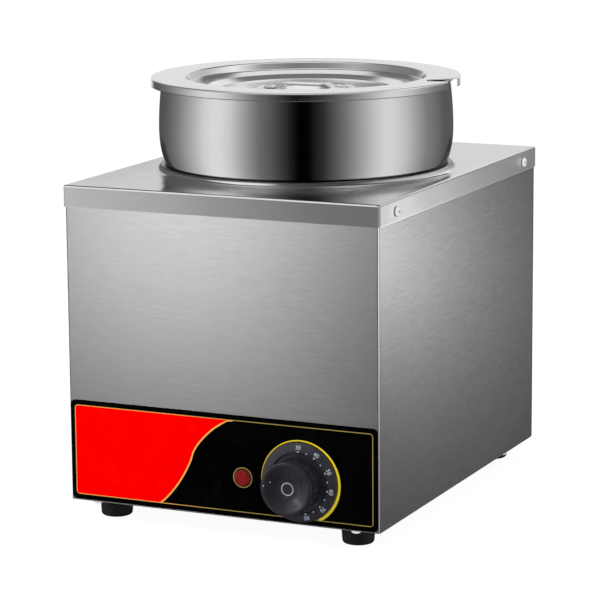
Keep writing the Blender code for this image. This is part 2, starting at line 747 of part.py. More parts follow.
def lid_chain():
    """List the lid's upper surface from its middle out to its flange's edge."""
    dish_floor = LID_FLOOR - LID_DISH_DEPTH
    slope_foot = LID_RECESS_R - LID_STEP_RUN - LID_SHELF_RUN - LID_SLOPE_RUN
    shelf_inner = slope_foot + LID_SLOPE_RUN
    shelf_outer = shelf_inner + LID_SHELF_RUN
    return filleted([
        (0, dish_floor, 0),
        (LID_DISH_R - LID_DISH_RUN, dish_floor, LID_DISH_FILLET),
        (LID_DISH_R, LID_FLOOR, LID_FILLET),
        (LID_BEAD_R - LID_BEAD_WIDTH / 2, LID_FLOOR, 0),
        (LID_BEAD_R, LID_FLOOR + LID_BEAD_RISE, 0),
        (LID_BEAD_R + LID_BEAD_WIDTH / 2, LID_FLOOR, 0),
        (slope_foot, LID_FLOOR, LID_FILLET),
        (shelf_inner, LID_FLOOR + LID_SLOPE_DROP, LID_FILLET),
        (shelf_outer, -LID_STEP_DROP, LID_FILLET),
        (LID_RECESS_R, 0, LID_RECESS_ROUND),
        (LID_RADIUS, 0, LID_EDGE_ROUND),
        (LID_RADIUS, -LID_FLANGE, 0),
    ], steps=1)


def build_lid(steel, lid_axis):
    """Press the stepped lid and cut the ladle notch through its rim."""
    bm = turned(walled(lid_chain(), -LID_WALL), ROUND_STEPS, closed=False)
    lid = add_piece("lid", bm, steel, lid_axis)
    corners = [Vector((x * LID_RADIUS, y * LID_RADIUS)) for x, y in NOTCH_CORNER_SHARES]
    closed_chain = [(*corners[1], 0), (*corners[0], NOTCH_CORNER), (*corners[3], NOTCH_CORNER), (*corners[2], 0)]
    tool = bmesh.new()
    add_prism(tool, filleted(closed_chain, steps=4), -LID_FLANGE - CUT_OVERRUN, CUT_OVERRUN)
    punch(lid, tool)


def build_handle(steel, lid_axis):
    """Bend the strap handle: two feet on the lid's floor and a raised middle."""
    half = STRAP_LENGTH / 2
    stations = [
        (-half, 0), (-half + STRAP_CORNER, 0), (-half + STRAP_FOOT, 0),
        (-half + STRAP_FOOT + STRAP_RAMP, STRAP_RISE), (0, STRAP_RISE),
    ]
    stations += [(-x, z) for x, z in reversed(stations[:-1])]
    bm = bmesh.new()
    rows = []
    for x, z in stations:
        inset = STRAP_CORNER if abs(x) == half else 0
        width = STRAP_WIDTH / 2 - inset
        rows.append([bm.verts.new((x, -width, z)), bm.verts.new((x, width, z))])
    for near, far in zip(rows, rows[1:]):
        bm.faces.new((near[0], far[0], far[1], near[1]))
    handle = add_piece("lid_handle", bm, steel, lid_axis, (0, 0, LID_FLOOR + FIT_GAP + STRAP_THICKNESS))
    fold_sheet(handle, STRAP_THICKNESS)


def element_legs():
    """Give the places of the element's two legs, from the pot's axis."""
    half = ELEMENT_LEG_SPACING / 2
    y = math.sqrt(ELEMENT_RING_R ** 2 - half ** 2)
    return ((half, y), (-half, y))


def add_tube(name, points, radii, material, parent, sides=2):
    """Add a closed round tube along points, with its own radius at each point."""
    widest = max(radii)
    curve = bpy.data.curves.new(name, "CURVE")
    curve.dimensions = "3D"
    curve.bevel_depth = widest
    curve.bevel_resolution = sides
    curve.use_fill_caps = True
    spline = curve.splines.new("POLY")
    spline.points.add(len(points) - 1)
    for knot, spot, radius in zip(spline.points, points, radii):
        knot.co = (*spot, 1.0)
        knot.radius = radius / widest
    curve.materials.append(material)
    tube = bpy.data.objects.new(name, curve)
    bpy.context.scene.collection.objects.link(tube)
    tube.parent = parent
    return tube


def build_element(steel, brass, pot_axis):
    """Bend the tubular element round the tank's floor and out through it."""
    level = -TANK_DEPTH + ELEMENT_LIFT
    (leg_x, leg_y), _ = element_legs()
    start = math.atan2(leg_y, leg_x) - ELEMENT_BEND_R / ELEMENT_RING_R
    end = math.pi - start
    foot = -TANK_DEPTH - TANK_WALL - ELEMENT_LEG_LENGTH
    ring_steps = 24
    sweep = start - end + math.tau
    ring = []
    for step in range(ring_steps + 1):
        angle = start - sweep * step / ring_steps
        ring.append((ELEMENT_RING_R * math.cos(angle), ELEMENT_RING_R * math.sin(angle), level))
    first_leg = [(leg_x, leg_y, foot), (leg_x, leg_y, -TANK_DEPTH), (leg_x, leg_y, level - ELEMENT_BEND_R)]
    last_leg = [(-x, y, z) for x, y, z in reversed(first_leg)]

    def bend(leg_top, ring_end):
        mid = Vector((leg_top[0], leg_top[1], level))
        points = []
        for step in (1, 2):
            share = step / 3
            low = Vector(leg_top).lerp(mid, share)
            high = mid.lerp(Vector(ring_end), share)
            points.append(tuple(low.lerp(high, share)))
        return points

    points = first_leg + bend(first_leg[-1], ring[0]) + ring
    points += bend(last_leg[0], ring[-1])[::-1] + last_leg
    add_tube("heating_element", points, [ELEMENT_TUBE_R] * len(points), steel, pot_axis)
    nut_top = -TANK_DEPTH - TANK_WALL - FIT_GAP
    for side, (x, y) in zip(("right", "left"), element_legs()):
        bm = nut_mesh(ELEMENT_NUT_R, bore_for(ELEMENT_TUBE_R), ELEMENT_NUT_THICKNESS)
        add_piece("element_nut_" + side, bm, brass, pot_axis, (x, y, nut_top - ELEMENT_NUT_THICKNESS))


def build_label(print_black, panel):
    """Cut the thin label with its lamp hole and the hole round the shaft."""
    bm = bmesh.new()
    half_w, half_h = LABEL_WIDTH / 2, LABEL_HEIGHT / 2
    corners = [(0, half_h, 0), (half_w, half_h, LABEL_CORNER), (half_w, -half_h, LABEL_CORNER),
               (-half_w, -half_h, LABEL_CORNER), (-half_w, half_h, LABEL_CORNER), (0, half_h, 0)]
    middle = LABEL_MARGIN + half_h
    add_prism(bm, filleted(corners, steps=4)[:-1], FIT_GAP, LABEL_FACE, Matrix.Translation((0, middle, 0)))
    label = add_piece("front_label", bm, print_black, panel)
    tool = bmesh.new()
    lamp = Matrix.Translation((LAMP_X, LAMP_HEIGHT, 0))
    add_rod(tool, LAMP_BARREL_R + PANEL_HOLE_CLEARANCE, -CUT_OVERRUN, CUT_OVERRUN, lamp, FOOT_STEPS)
    shaft = Matrix.Translation((KNOB_X, KNOB_HEIGHT, 0))
    add_rod(tool, LABEL_SHAFT_HOLE_R, -CUT_OVERRUN, CUT_OVERRUN, shaft, FOOT_STEPS)
    punch(label, tool)


def build_lamp(red, black, steel, panel):
    """Make the pilot lamp: lens, barrel and the spring clip behind the panel."""
    place = (LAMP_X, LAMP_HEIGHT, 0)
    back = LABEL_FACE + FIT_GAP
    lens = turned([
        (0, back - LAMP_PLUG_LENGTH),
        (LAMP_PLUG_R, back - LAMP_PLUG_LENGTH),
        (LAMP_PLUG_R, back),
        (LAMP_LENS_R, back),
        (LAMP_LENS_R, back + LAMP_LENS_RIM),
        (LAMP_LENS_R * 0.8, back + LAMP_LENS_RIM + (LAMP_LENS_DOME - LAMP_LENS_RIM) * 0.6),
        (LAMP_LENS_R * 0.4, back + LAMP_LENS_RIM + (LAMP_LENS_DOME - LAMP_LENS_RIM) * 0.93),
        (0, back + LAMP_LENS_DOME),
    ], 24, closed=False)
    add_piece("pilot_lens", lens, red, panel, place)
    bore = LAMP_PLUG_R + FIT_GAP
    rear = LABEL_FACE - LAMP_BARREL_LENGTH
    floor = back - LAMP_PLUG_LENGTH - FIT_GAP
    barrel = turned([
        (0, floor),
        (bore, floor),
        (bore, LABEL_FACE),
        (LAMP_BARREL_R, LABEL_FACE),
        (LAMP_BARREL_R, rear),
        (0, rear),
    ], 16, closed=False)
    add_piece("pilot_body", barrel, black, panel, place)
    top = -SHEET - FIT_GAP
    clip_bore = LAMP_BARREL_R + FIT_GAP
    clip = turned([
        (clip_bore, top),
        (LAMP_CLIP_R, top),
        (LAMP_CLIP_R, top - LAMP_CLIP_THICKNESS),
        (clip_bore, top - LAMP_CLIP_THICKNESS),
    ], 16)
    add_piece("pilot_clip", clip, steel, panel, place)


def build_dial(black, steel, panel):
    """Make the fixed dial ring and the two screws inside it."""
    back = DIAL_BACK
    floor = back + DIAL_FLOOR
    profile = filleted([
        (DIAL_HOLE_R, back, 0),
        (DIAL_R, back, 0),
        (DIAL_R, back + DIAL_RIM_HEIGHT, DIAL_EDGE),
        (DIAL_INNER_R, back + DIAL_STEP_HEIGHT, DIAL_EDGE),
        (DIAL_INNER_R, floor, 0),
        (DIAL_HOLE_R, floor, 0),
    ])
    ring = add_piece("dial_ring", turned(profile, KNOB_STEPS), black, panel, (KNOB_X, KNOB_HEIGHT, 0))
    tool = bmesh.new()
    for side, name in ((1, "right"), (-1, "left")):
        x = side * THERMOSTAT_SCREW_SPACING / 2
        spot = Matrix.Translation((x, 0, floor))
        add_rod(tool, SMALL_SCREW_R + SCREW_HOLE_CLEARANCE, -CUT_OVERRUN, CUT_OVERRUN, spot)
        bm = screw_mesh(SMALL_SCREW_R, thermostat_screw_length(), SMALL_HEAD_R, SMALL_HEAD_HEIGHT)
        add_piece("thermostat_screw_" + name, bm, steel, panel, (KNOB_X + x, KNOB_HEIGHT, floor + FIT_GAP))
    punch(ring, tool)


def thermostat_screw_length():
    """Give the length from under the head, in the dial's floor, into the thermostat."""
    return DIAL_BACK + DIAL_FLOOR + FIT_GAP + SHEET + FIT_GAP + THERMOSTAT_SCREW_DEPTH


def build_knob(black, steel, knob_axis):
    """Turn the grip with its waist and its dished face, and the shaft in its bore."""
    bore = SHAFT_R + SHAFT_CLEARANCE
    bore_end = SHAFT_GRIP + FIT_GAP
    face = KNOB_LENGTH
    dish = [
        (KNOB_DISH_R, face, 0),
        (KNOB_DISH_R * 0.78, face - KNOB_DISH_DEPTH * 0.42, 0),
        (KNOB_DISH_R * 0.52, face - KNOB_DISH_DEPTH * 0.86, 0),
        (KNOB_DISH_R * 0.25, face - KNOB_DISH_DEPTH, 0),
        (0, face - KNOB_DISH_DEPTH, 0),
    ]
    profile = filleted([
        (0, bore_end, 0),
        (bore, bore_end, 0),
        (bore, 0, 0),
        (KNOB_R, 0, KNOB_EDGE / 2),
        (KNOB_WAIST_R, KNOB_LENGTH * 0.4, 0),
        (KNOB_R, face - KNOB_EDGE * 2, 0),
        (KNOB_R, face, KNOB_EDGE),
    ] + dish)
    add_piece("control_knob", turned(profile, KNOB_STEPS, closed=False), black, knob_axis)
    rear = -(KNOB_BACK + SHEET + FIT_GAP)
    shaft = turned([(0, SHAFT_GRIP), (SHAFT_R, SHAFT_GRIP), (SHAFT_R, rear), (0, rear)], SCREW_STEPS, closed=False)
    add_piece("thermostat_shaft", shaft, steel, knob_axis)


def build_thermostat(grey, copper, steel, panel, cabinet):
    """Make the thermostat's case, its capillary and bulb, and the bulb's clip."""
    front = -(SHEET + FIT_GAP)
    bm = rounded_box(THERMOSTAT_WIDTH, THERMOSTAT_HEIGHT, front - THERMOSTAT_DEPTH, front, THERMOSTAT_EDGE)
    case = add_piece("thermostat_body", bm, grey, panel, (KNOB_X, KNOB_HEIGHT, 0))
    tool = bmesh.new()
    depth = THERMOSTAT_SCREW_DEPTH + FIT_GAP
    for side in (1, -1):
        spot = Matrix.Translation((side * THERMOSTAT_SCREW_SPACING / 2, 0, front))
        add_rod(tool, SMALL_SCREW_R + SCREW_HOLE_CLEARANCE, -depth, CUT_OVERRUN, spot)
    add_rod(tool, SHAFT_R + SHAFT_CLEARANCE, -FIT_GAP, CUT_OVERRUN, Matrix.Translation((0, 0, front)))
    punch(case, tool)

    level = TANK_UNDERSIDE - FIT_GAP - BULB_R
    start = Vector((KNOB_X, SHELL_FRONT + SHEET + FIT_GAP * 2 + THERMOSTAT_DEPTH, FOOT_HEIGHT + KNOB_HEIGHT))
    end = Vector((BULB_LENGTH / 2 + BULB_R * 2, BULB_Y, level))
    reach = abs(end.y - start.y)
    leave = Vector((0, reach * 1.6, 0))
    arrive = Vector((-reach * 1.1, 0, 0))
    points = []
    steps = 16
    for step in range(steps + 1):
        t = step / steps
        points.append(
            start * (2 * t ** 3 - 3 * t ** 2 + 1) + leave * (t ** 3 - 2 * t ** 2 + t)
            + end * (3 * t ** 2 - 2 * t ** 3) + arrive * (t ** 3 - t ** 2)
        )
    radii = [CAPILLARY_R] * len(points)
    bulb_start, bulb_end = BULB_LENGTH / 2, -BULB_LENGTH / 2
    points += [Vector((bulb_start, BULB_Y, level)), Vector((bulb_end, BULB_Y, level))]
    radii += [BULB_R, BULB_R]
    points.append(Vector((bulb_end - BULB_R, BULB_Y, level)))
    radii.append(CAPILLARY_R)
    add_tube("capillary_bulb", points, radii, copper, cabinet)

    foot = BULB_R + FIT_GAP + CLIP_FOOT
    saddle = BULB_R + FIT_GAP
    drop = saddle + BULB_R
    chain = filleted([
        (-foot, 0, 0), (-saddle, 0, CLIP_THICKNESS), (-saddle, -drop, saddle), (0, -drop, 0),
        (saddle, -drop, saddle), (saddle, 0, CLIP_THICKNESS), (foot, 0, 0),
    ], steps=3)
    bm = bmesh.new()
    across = Matrix.Translation((0, BULB_Y, TANK_UNDERSIDE - FIT_GAP)) @ Matrix(
        ((0, 0, 1, 0), (1, 0, 0, 0), (0, 1, 0, 0), (0, 0, 0, 1))
    )
    add_prism(bm, walled(chain, -CLIP_THICKNESS), -CLIP_WIDTH / 2, CLIP_WIDTH / 2, across)
    add_piece("bulb_clip", bm, steel, cabinet)


def build_cutout(black, cabinet):
    """Make the overheat cut-out that sits under the tank's floor."""
    top = TANK_UNDERSIDE - FIT_GAP
    waist = top - CUTOUT_HEIGHT / 3
    body = turned([
        (0, top), (CUTOUT_R, top), (CUTOUT_R, waist), (CUTOUT_CAP_R, waist),
        (CUTOUT_CAP_R, top - CUTOUT_HEIGHT), (0, top - CUTOUT_HEIGHT),
    ], 16, closed=False)
    add_piece("overheat_cutout", body, black, cabinet, (CUTOUT_X, CUTOUT_Y, 0))


def build_feet(rubber, steel, cabinet):
    """Make each rubber foot with its counterbored hole, its screw and its nut."""
    top = FOOT_HEIGHT + SHEET
    seat = FOOT_BORE_DEPTH
    clear = FOOT_SCREW_R + SCREW_HOLE_CLEARANCE
    profile = filleted([
        (clear, top, 0),
        (FOOT_TOP_R, top, 0),
        (FOOT_BASE_R, 0, FOOT_ROUND),
        (FOOT_BORE_R, 0, 0),
        (FOOT_BORE_R, seat, 0),
        (clear, seat, 0),
    ])
    head = seat - FIT_GAP
    length = BASE_TOP + FOOT_SCREW_STAND - head
    for name, x, y in foot_places():
        add_piece("foot_" + name, turned(profile, FOOT_STEPS), rubber, cabinet, (x, y, 0))
        bm = screw_mesh(FOOT_SCREW_R, length, FOOT_HEAD_R, FOOT_HEAD_HEIGHT)
        add_piece("foot_screw_" + name, bm, steel, cabinet, (x, y, head), OVER_TURN)
        bm = nut_mesh(FOOT_NUT_R, bore_for(FOOT_SCREW_R), FOOT_NUT_THICKNESS)
        add_piece("foot_nut_" + name, bm, steel, cabinet, (x, y, BASE_TOP + FIT_GAP))


def build_casing_screws(steel, cabinet):
    """Place the small screws of the deck's skirt, the back panel and the base."""
    z = DECK_TOP - SKIRT_SCREW_DROP
    x = HALF_DECK_X + FIT_GAP
    for end, y in (("rear", SKIRT_SCREW_Y), ("front", -SKIRT_SCREW_Y)):
        small_screw("deck_screw_right_" + end, steel, cabinet, (x, y, z), RIGHT_TURN)
        small_screw("deck_screw_left_" + end, steel, cabinet, (-x, y, z), LEFT_TURN)
    x = SHELL_X - BACK_SCREW_INSET
    y = PANEL_BACK + FIT_GAP
    for level, z in zip(("lower", "upper"), back_screw_heights()):
        small_screw("back_screw_right_" + level, steel, cabinet, (x, y, z), BACK_TURN)
        small_screw("back_screw_left_" + level, steel, cabinet, (-x, y, z), BACK_TURN)
    names = ("front_right", "front_left", "rear_right", "rear_left")
    for name, (x, y) in zip(names, base_screw_places()):
        small_screw("base_screw_" + name, steel, cabinet, (x, y, FOOT_HEIGHT - FIT_GAP), OVER_TURN)


def build_gland(black, cabinet):
    """Make the cable gland in the back panel and the nut inside it."""
    holder = add_empty("gland_axis", cabinet, (GLAND_X, PANEL_BACK, FOOT_HEIGHT + GLAND_HEIGHT), BACK_TURN)
    inner = -(SHEET + GLAND_BARREL_LENGTH)
    body = turned([
        (GLAND_BORE_R, inner),
        (GLAND_BARREL_R, inner),
        (GLAND_BARREL_R, FIT_GAP),
        (GLAND_FLANGE_R, FIT_GAP),
        (GLAND_FLANGE_R, FIT_GAP + GLAND_FLANGE_THICKNESS),
        (GLAND_DOME_R, FIT_GAP + GLAND_FLANGE_THICKNESS),
        (GLAND_DOME_R, GLAND_END - GLAND_DOME_R / 2),
        (GLAND_DOME_R * 0.85, GLAND_END - GLAND_DOME_R / 5),
        (GLAND_DOME_R * 0.65, GLAND_END),
        (GLAND_BORE_R, GLAND_END),
    ], FOOT_STEPS)
    add_piece("cable_gland", body, black, holder)
    nut = nut_mesh(GLAND_FLANGE_R * 1.15, bore_for(GLAND_BARREL_R), GLAND_NUT_THICKNESS)
    add_piece("gland_nut", nut, black, holder, (0, 0, -(SHEET + FIT_GAP + GLAND_NUT_THICKNESS)))


def build_wiring(nylon, brass, cabinet):
    """Place the terminal block and the earth stud on the base."""
    bm = bmesh.new()
    pole = BLOCK_WIDTH / BLOCK_POLES
    half = BLOCK_DEPTH / 2
    for index in range(BLOCK_POLES):
        left = -BLOCK_WIDTH / 2 + pole * index
        outline = [(left, -half), (left + pole, -half), (left + pole, half), (left, half)]
        add_prism(bm, outline, 0, BLOCK_HEIGHT)
    bmesh.ops.remove_doubles(bm, verts=bm.verts, dist=MERGE)
    inner = [face for face in bm.faces if all(len(edge.link_faces) > 2 for edge in face.edges)]
    bmesh.ops.delete(bm, geom=inner, context="FACES")
    bmesh.ops.recalc_face_normals(bm, faces=bm.faces)
    bm.normal_update()
    tops = [face for face in bm.faces if face.normal.z > 0.9]
    bmesh.ops.inset_individual(bm, faces=tops, thickness=BLOCK_WELL_INSET)
    sunk = bmesh.ops.extrude_discrete_faces(bm, faces=tops)["faces"]
    wells = {vert for face in sunk for vert in face.verts}
    bmesh.ops.translate(bm, verts=list(wells), vec=(0, 0, -BLOCK_WELL))
    add_piece("terminal_block", bm, nylon, cabinet, (BLOCK_X, BLOCK_Y, BASE_TOP + FIT_GAP))
    foot = BASE_TOP + FIT_GAP
    stud = screw_mesh(FOOT_SCREW_R, STUD_LENGTH, FOOT_HEAD_R, FOOT_HEAD_HEIGHT)
    add_piece("earth_stud", stud, brass, cabinet, (STUD_X, STUD_Y, foot + FOOT_HEAD_HEIGHT), OVER_TURN)
    nut = nut_mesh(FOOT_NUT_R, bore_for(FOOT_SCREW_R), FOOT_NUT_THICKNESS)
    add_piece("earth_nut", nut, brass, cabinet, (STUD_X, STUD_Y, foot + FOOT_HEAD_HEIGHT + FIT_GAP))


def main():
    """Build every piece on its axis."""
    clear_scene()
    brushed = finish("brushed_steel", (0.62, 0.62, 0.61), 0.34, 1.0)
    polished = finish("polished_steel", (0.78, 0.78, 0.77), 0.10, 1.0)
    satin = finish("satin_steel", (0.72, 0.72, 0.71), 0.28, 1.0)
    zinc = finish("zinc_screws", (0.70, 0.70, 0.68), 0.30, 1.0)
    brass = finish("brass", (0.78, 0.60, 0.30), 0.35, 1.0)
    copper = finish("copper", (0.80, 0.46, 0.30), 0.30, 1.0)
    rubber = finish("black_rubber", (0.02, 0.02, 0.02), 0.75, 0.0)
    black = finish("black_plastic", (0.03, 0.03, 0.035), 0.42, 0.0)
    label_black = finish("label_black", (0.005, 0.005, 0.005), 0.30, 0.0)
    red = finish("red_lens", (0.60, 0.02, 0.02), 0.15, 0.0)
    grey = finish("grey_plastic", (0.35, 0.35, 0.36), 0.50, 0.0)
    nylon = finish("white_nylon", (0.85, 0.85, 0.82), 0.50, 0.0)

    cabinet = add_empty("cabinet", None, (0, CABINET_Y, 0))
    pot_axis = add_empty("pot_axis", cabinet, (0, POT_AXIS_Y, DECK_TOP))
    lid_axis = add_empty("lid_axis", pot_axis, (0, 0, LID_TOP))
    panel = add_empty("panel_face", cabinet, (0, SHELL_FRONT, FOOT_HEIGHT), FRONT_TURN)
    knob_axis = add_empty("knob_axis", panel, (KNOB_X, KNOB_HEIGHT, KNOB_BACK))

    build_deck(brushed, cabinet)
    build_shell(brushed, cabinet)
    build_back(brushed, cabinet)
    build_base(brushed, cabinet)
    build_tank(satin, pot_axis)
    build_pot(polished, pot_axis)
    build_lid(satin, lid_axis)
    build_handle(satin, lid_axis)
    build_element(satin, brass, pot_axis)
    build_label(label_black, panel)
    build_lamp(red, black, zinc, panel)
    build_dial(black, zinc, panel)
    build_knob(black, zinc, knob_axis)
    build_thermostat(grey, copper, zinc, panel, cabinet)
    build_cutout(black, cabinet)
    build_feet(rubber, zinc, cabinet)
    build_casing_screws(zinc, cabinet)
    build_gland(black, cabinet)
    build_wiring(nylon, brass, cabinet)


main()
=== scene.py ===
"""Looks of a countertop bain marie: a steel box with a polished pot, a pressed lid and a dial.

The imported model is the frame. Each class below dresses one sub-assembly of it, in metres,
and main() builds them in order.
"""

import json
import logging
from collections.abc import Callable
from dataclasses import dataclass
from enum import Enum
from math import atan, cos, pi, radians, sin, sqrt, tan, tau

import bmesh
import bpy
from bmesh.types import BMesh, BMVert
from bpy.types import Material, Mesh, Object
from mathutils import Matrix, Vector


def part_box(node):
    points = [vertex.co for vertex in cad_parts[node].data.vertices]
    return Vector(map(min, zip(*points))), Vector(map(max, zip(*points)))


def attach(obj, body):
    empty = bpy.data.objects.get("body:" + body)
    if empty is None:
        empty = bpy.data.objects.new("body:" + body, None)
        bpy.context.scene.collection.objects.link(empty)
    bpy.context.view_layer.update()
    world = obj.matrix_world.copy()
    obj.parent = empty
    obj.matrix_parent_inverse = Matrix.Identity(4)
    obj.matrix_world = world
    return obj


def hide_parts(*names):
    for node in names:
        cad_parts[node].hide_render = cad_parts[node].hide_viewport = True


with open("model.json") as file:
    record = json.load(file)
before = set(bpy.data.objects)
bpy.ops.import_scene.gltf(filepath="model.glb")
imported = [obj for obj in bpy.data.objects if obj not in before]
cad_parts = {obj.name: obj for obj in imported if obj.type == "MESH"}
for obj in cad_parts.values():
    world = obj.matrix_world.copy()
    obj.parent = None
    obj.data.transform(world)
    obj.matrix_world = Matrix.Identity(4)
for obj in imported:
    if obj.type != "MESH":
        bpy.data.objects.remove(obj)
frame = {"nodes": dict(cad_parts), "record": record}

log = logging.getLogger("bain_marie")

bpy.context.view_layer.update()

Point = tuple[float, float]
Chain = tuple[Point, ...]
Place = tuple[float, float, float]
Box = tuple[float, float, float, float]
Colour = tuple[float, float, float]

DOUBLES = 0.0000004


class Facing(Enum):
    """The side that a piece turned about Z looks to, with the turns that bring it there."""

    DOWN = ((pi, "X"),)
    FRONT = ((pi / 2, "X"),)
    BACK = ((pi, "Z"), (pi / 2, "X"))
    RIGHT = ((pi / 2, "Y"),)
    LEFT = ((-pi / 2, "Y"),)

    def turn(self) -> Matrix:
        """Give the turn that takes Z to this side.

        Returns:
            The turn as a matrix.
        """
        turned = Matrix.Identity(4)
        for angle, axis in self.value:
            turned = turned @ Matrix.Rotation(angle, 4, axis)
        return turned

    def at(self, x: float, y: float, z: float) -> Matrix:
        """Give the place (x, y, z) with this turn."""
        return Matrix.Translation((x, y, z)) @ self.turn()


def operator(operation: str, flipped: bool = False) -> "Callable[[Wire, Wire | float], Wire]":
    """Make a method of a wire that adds a Math node.

    Args:
        operation: The node's operation.
        flipped: True where the wire comes second.

    Returns:
        The method.
    """

    def method(wire: "Wire", other: "Wire | float") -> "Wire":
        """Add the node on the wire and the other value."""
        return wire.tree.maths(operation, *((other, wire) if flipped else (wire, other)))

    return method


class Wire:
    """One output socket of a tree, which takes part in sums as a number would."""

    __add__ = __radd__ = operator("ADD")
    __sub__ = operator("SUBTRACT")
    __rsub__ = operator("SUBTRACT", flipped=True)
    __mul__ = __rmul__ = operator("MULTIPLY")
    __truediv__ = operator("DIVIDE")
    __rtruediv__ = operator("DIVIDE", flipped=True)
    __pow__ = operator("POWER")
    __mod__ = operator("FLOORED_MODULO")
    above = operator("GREATER_THAN")
    below = operator("LESS_THAN")
    least = operator("MINIMUM")
    most = operator("MAXIMUM")
    bearing = operator("ARCTAN2")

    def __init__(self, tree: "Tree", socket: bpy.types.NodeSocket) -> None:
        """Keep the tree and the socket."""
        self.tree = tree
        self.socket = socket

    def alone(self, operation: str) -> "Wire":
        """Add a Math node of one operation on this wire."""
        return self.tree.maths(operation, self)

    def __abs__(self) -> "Wire":
        """Give the size without its sign."""
        return self.alone("ABSOLUTE")

    def spread(self, low: float, high: float, to_low: float = 0.0, to_high: float = 1.0) -> "Wire":
        """Carry the range low to high smoothly over to another one, held at its ends."""
        ends = {"Value": self, "From Min": low, "From Max": high, "To Min": to_low, "To Max": to_high}
        return self.tree.made("ShaderNodeMapRange", {"interpolation_type": "SMOOTHSTEP"}, ends)


def reach_of(first: Wire, second: Wire) -> Wire:
    """Give the length of an arrow from its two parts."""
    return (first * first + second * second) ** 0.5


class Tree:
    """A node tree that is being written, for a material or for geometry."""

    def __init__(self, nodes: bpy.types.NodeTree) -> None:
        """Start on an empty tree."""
        self.tree = nodes
        self.tree.nodes.clear()

    def node(
        self, kind: str, settings: dict | None = None, inputs: dict | None = None
    ) -> bpy.types.Node:
        """Add one node.

        Args:
            kind: The node's type.
            settings: Its settings, which are set first; "stops" fills a colour ramp.
            inputs: Its sockets by name or number, each with a value or a Wire.

        Returns:
            The new node.
        """
        node = self.tree.nodes.new(kind)
        for key, value in (settings or {}).items():
            if key == "stops":
                self._fill_ramp(node.color_ramp, value)
            else:
                setattr(node, key, value)
        for key, value in (inputs or {}).items():
            if isinstance(value, Wire):
                self.tree.links.new(value.socket, node.inputs[key])
            else:
                node.inputs[key].default_value = value
        return node

    @staticmethod
    def _fill_ramp(ramp: bpy.types.ColorRamp, stops: list[tuple[float, Colour]]) -> None:
        """Set the stops of a colour ramp.

        Args:
            ramp: The ramp, with its first two stops.
            stops: Each stop's place from 0 to 1 and its colour, in order.
        """
        for _ in stops[2:]:
            ramp.elements.new(1.0)
        for element, (spot, colour) in zip(ramp.elements, stops):
            element.position = spot
            element.color = (*colour, 1.0)

    def wire(self, node: bpy.types.Node, output: str | int = 0) -> Wire:
        """Give one output of a node."""
        return Wire(self, node.outputs[output])

    def made(
        self, kind: str, settings: dict | None = None, inputs: dict | None = None,
        output: str | int = 0,
    ) -> Wire:
        """Add one node as node() does, and give one of its outputs."""
        return self.wire(self.node(kind, settings, inputs), output)

    def maths(self, operation: str, *values: Wire | float) -> Wire:
        """Add a Math node."""
        return self.made("ShaderNodeMath", {"operation": operation}, dict(enumerate(values)))

    def vector_maths(self, operation: str, *values: Wire | Place) -> Wire:
        """Add a Vector Math node."""
        return self.made("ShaderNodeVectorMath", {"operation": operation}, dict(enumerate(values)))

    def split(self, vector: Wire) -> tuple[Wire, Wire, Wire]:
        """Give the three parts of a vector."""
        node = self.node("ShaderNodeSeparateXYZ", inputs={0: vector})
        return self.wire(node, 0), self.wire(node, 1), self.wire(node, 2)

    def joined(self, x: Wire | float, y: Wire | float, z: Wire | float) -> Wire:
        """Give a vector made of three parts."""
        return self.made("ShaderNodeCombineXYZ", inputs={0: x, 1: y, 2: z})

    def ramp(self, factor: Wire, stops: list[tuple[float, Colour]]) -> Wire:
        """Give the colour of a ramp at a factor."""
        return self.made("ShaderNodeValToRGB", {"stops": stops}, {0: factor})

    def blended(self, factor: Wire | float, first: Wire | Colour, second: Wire | Colour) -> Wire:
        """Mix two colours, the first one at a factor of 0 and the second one at 1."""
        near, far = (item if isinstance(item, Wire) else (*item, 1.0) for item in (first, second))
        return self.made("ShaderNodeMix", {"data_type": "RGBA"}, {0: factor, 6: near, 7: far}, 2)


def grey(level: float) -> Colour:
    """Give a neutral colour of one linear level."""
    return (level, level, level)


def linear(level: float) -> float:
    """Turn a display level from 0 to 255 into linear light."""
    share = level / 255
    return share / 12.92 if share <= 0.04045 else ((share + 0.055) / 1.055) ** 2.4


def painted(red: int, green: int, blue: int) -> Colour:
    """Turn a display colour into linear light."""
    return (linear(red), linear(green), linear(blue))


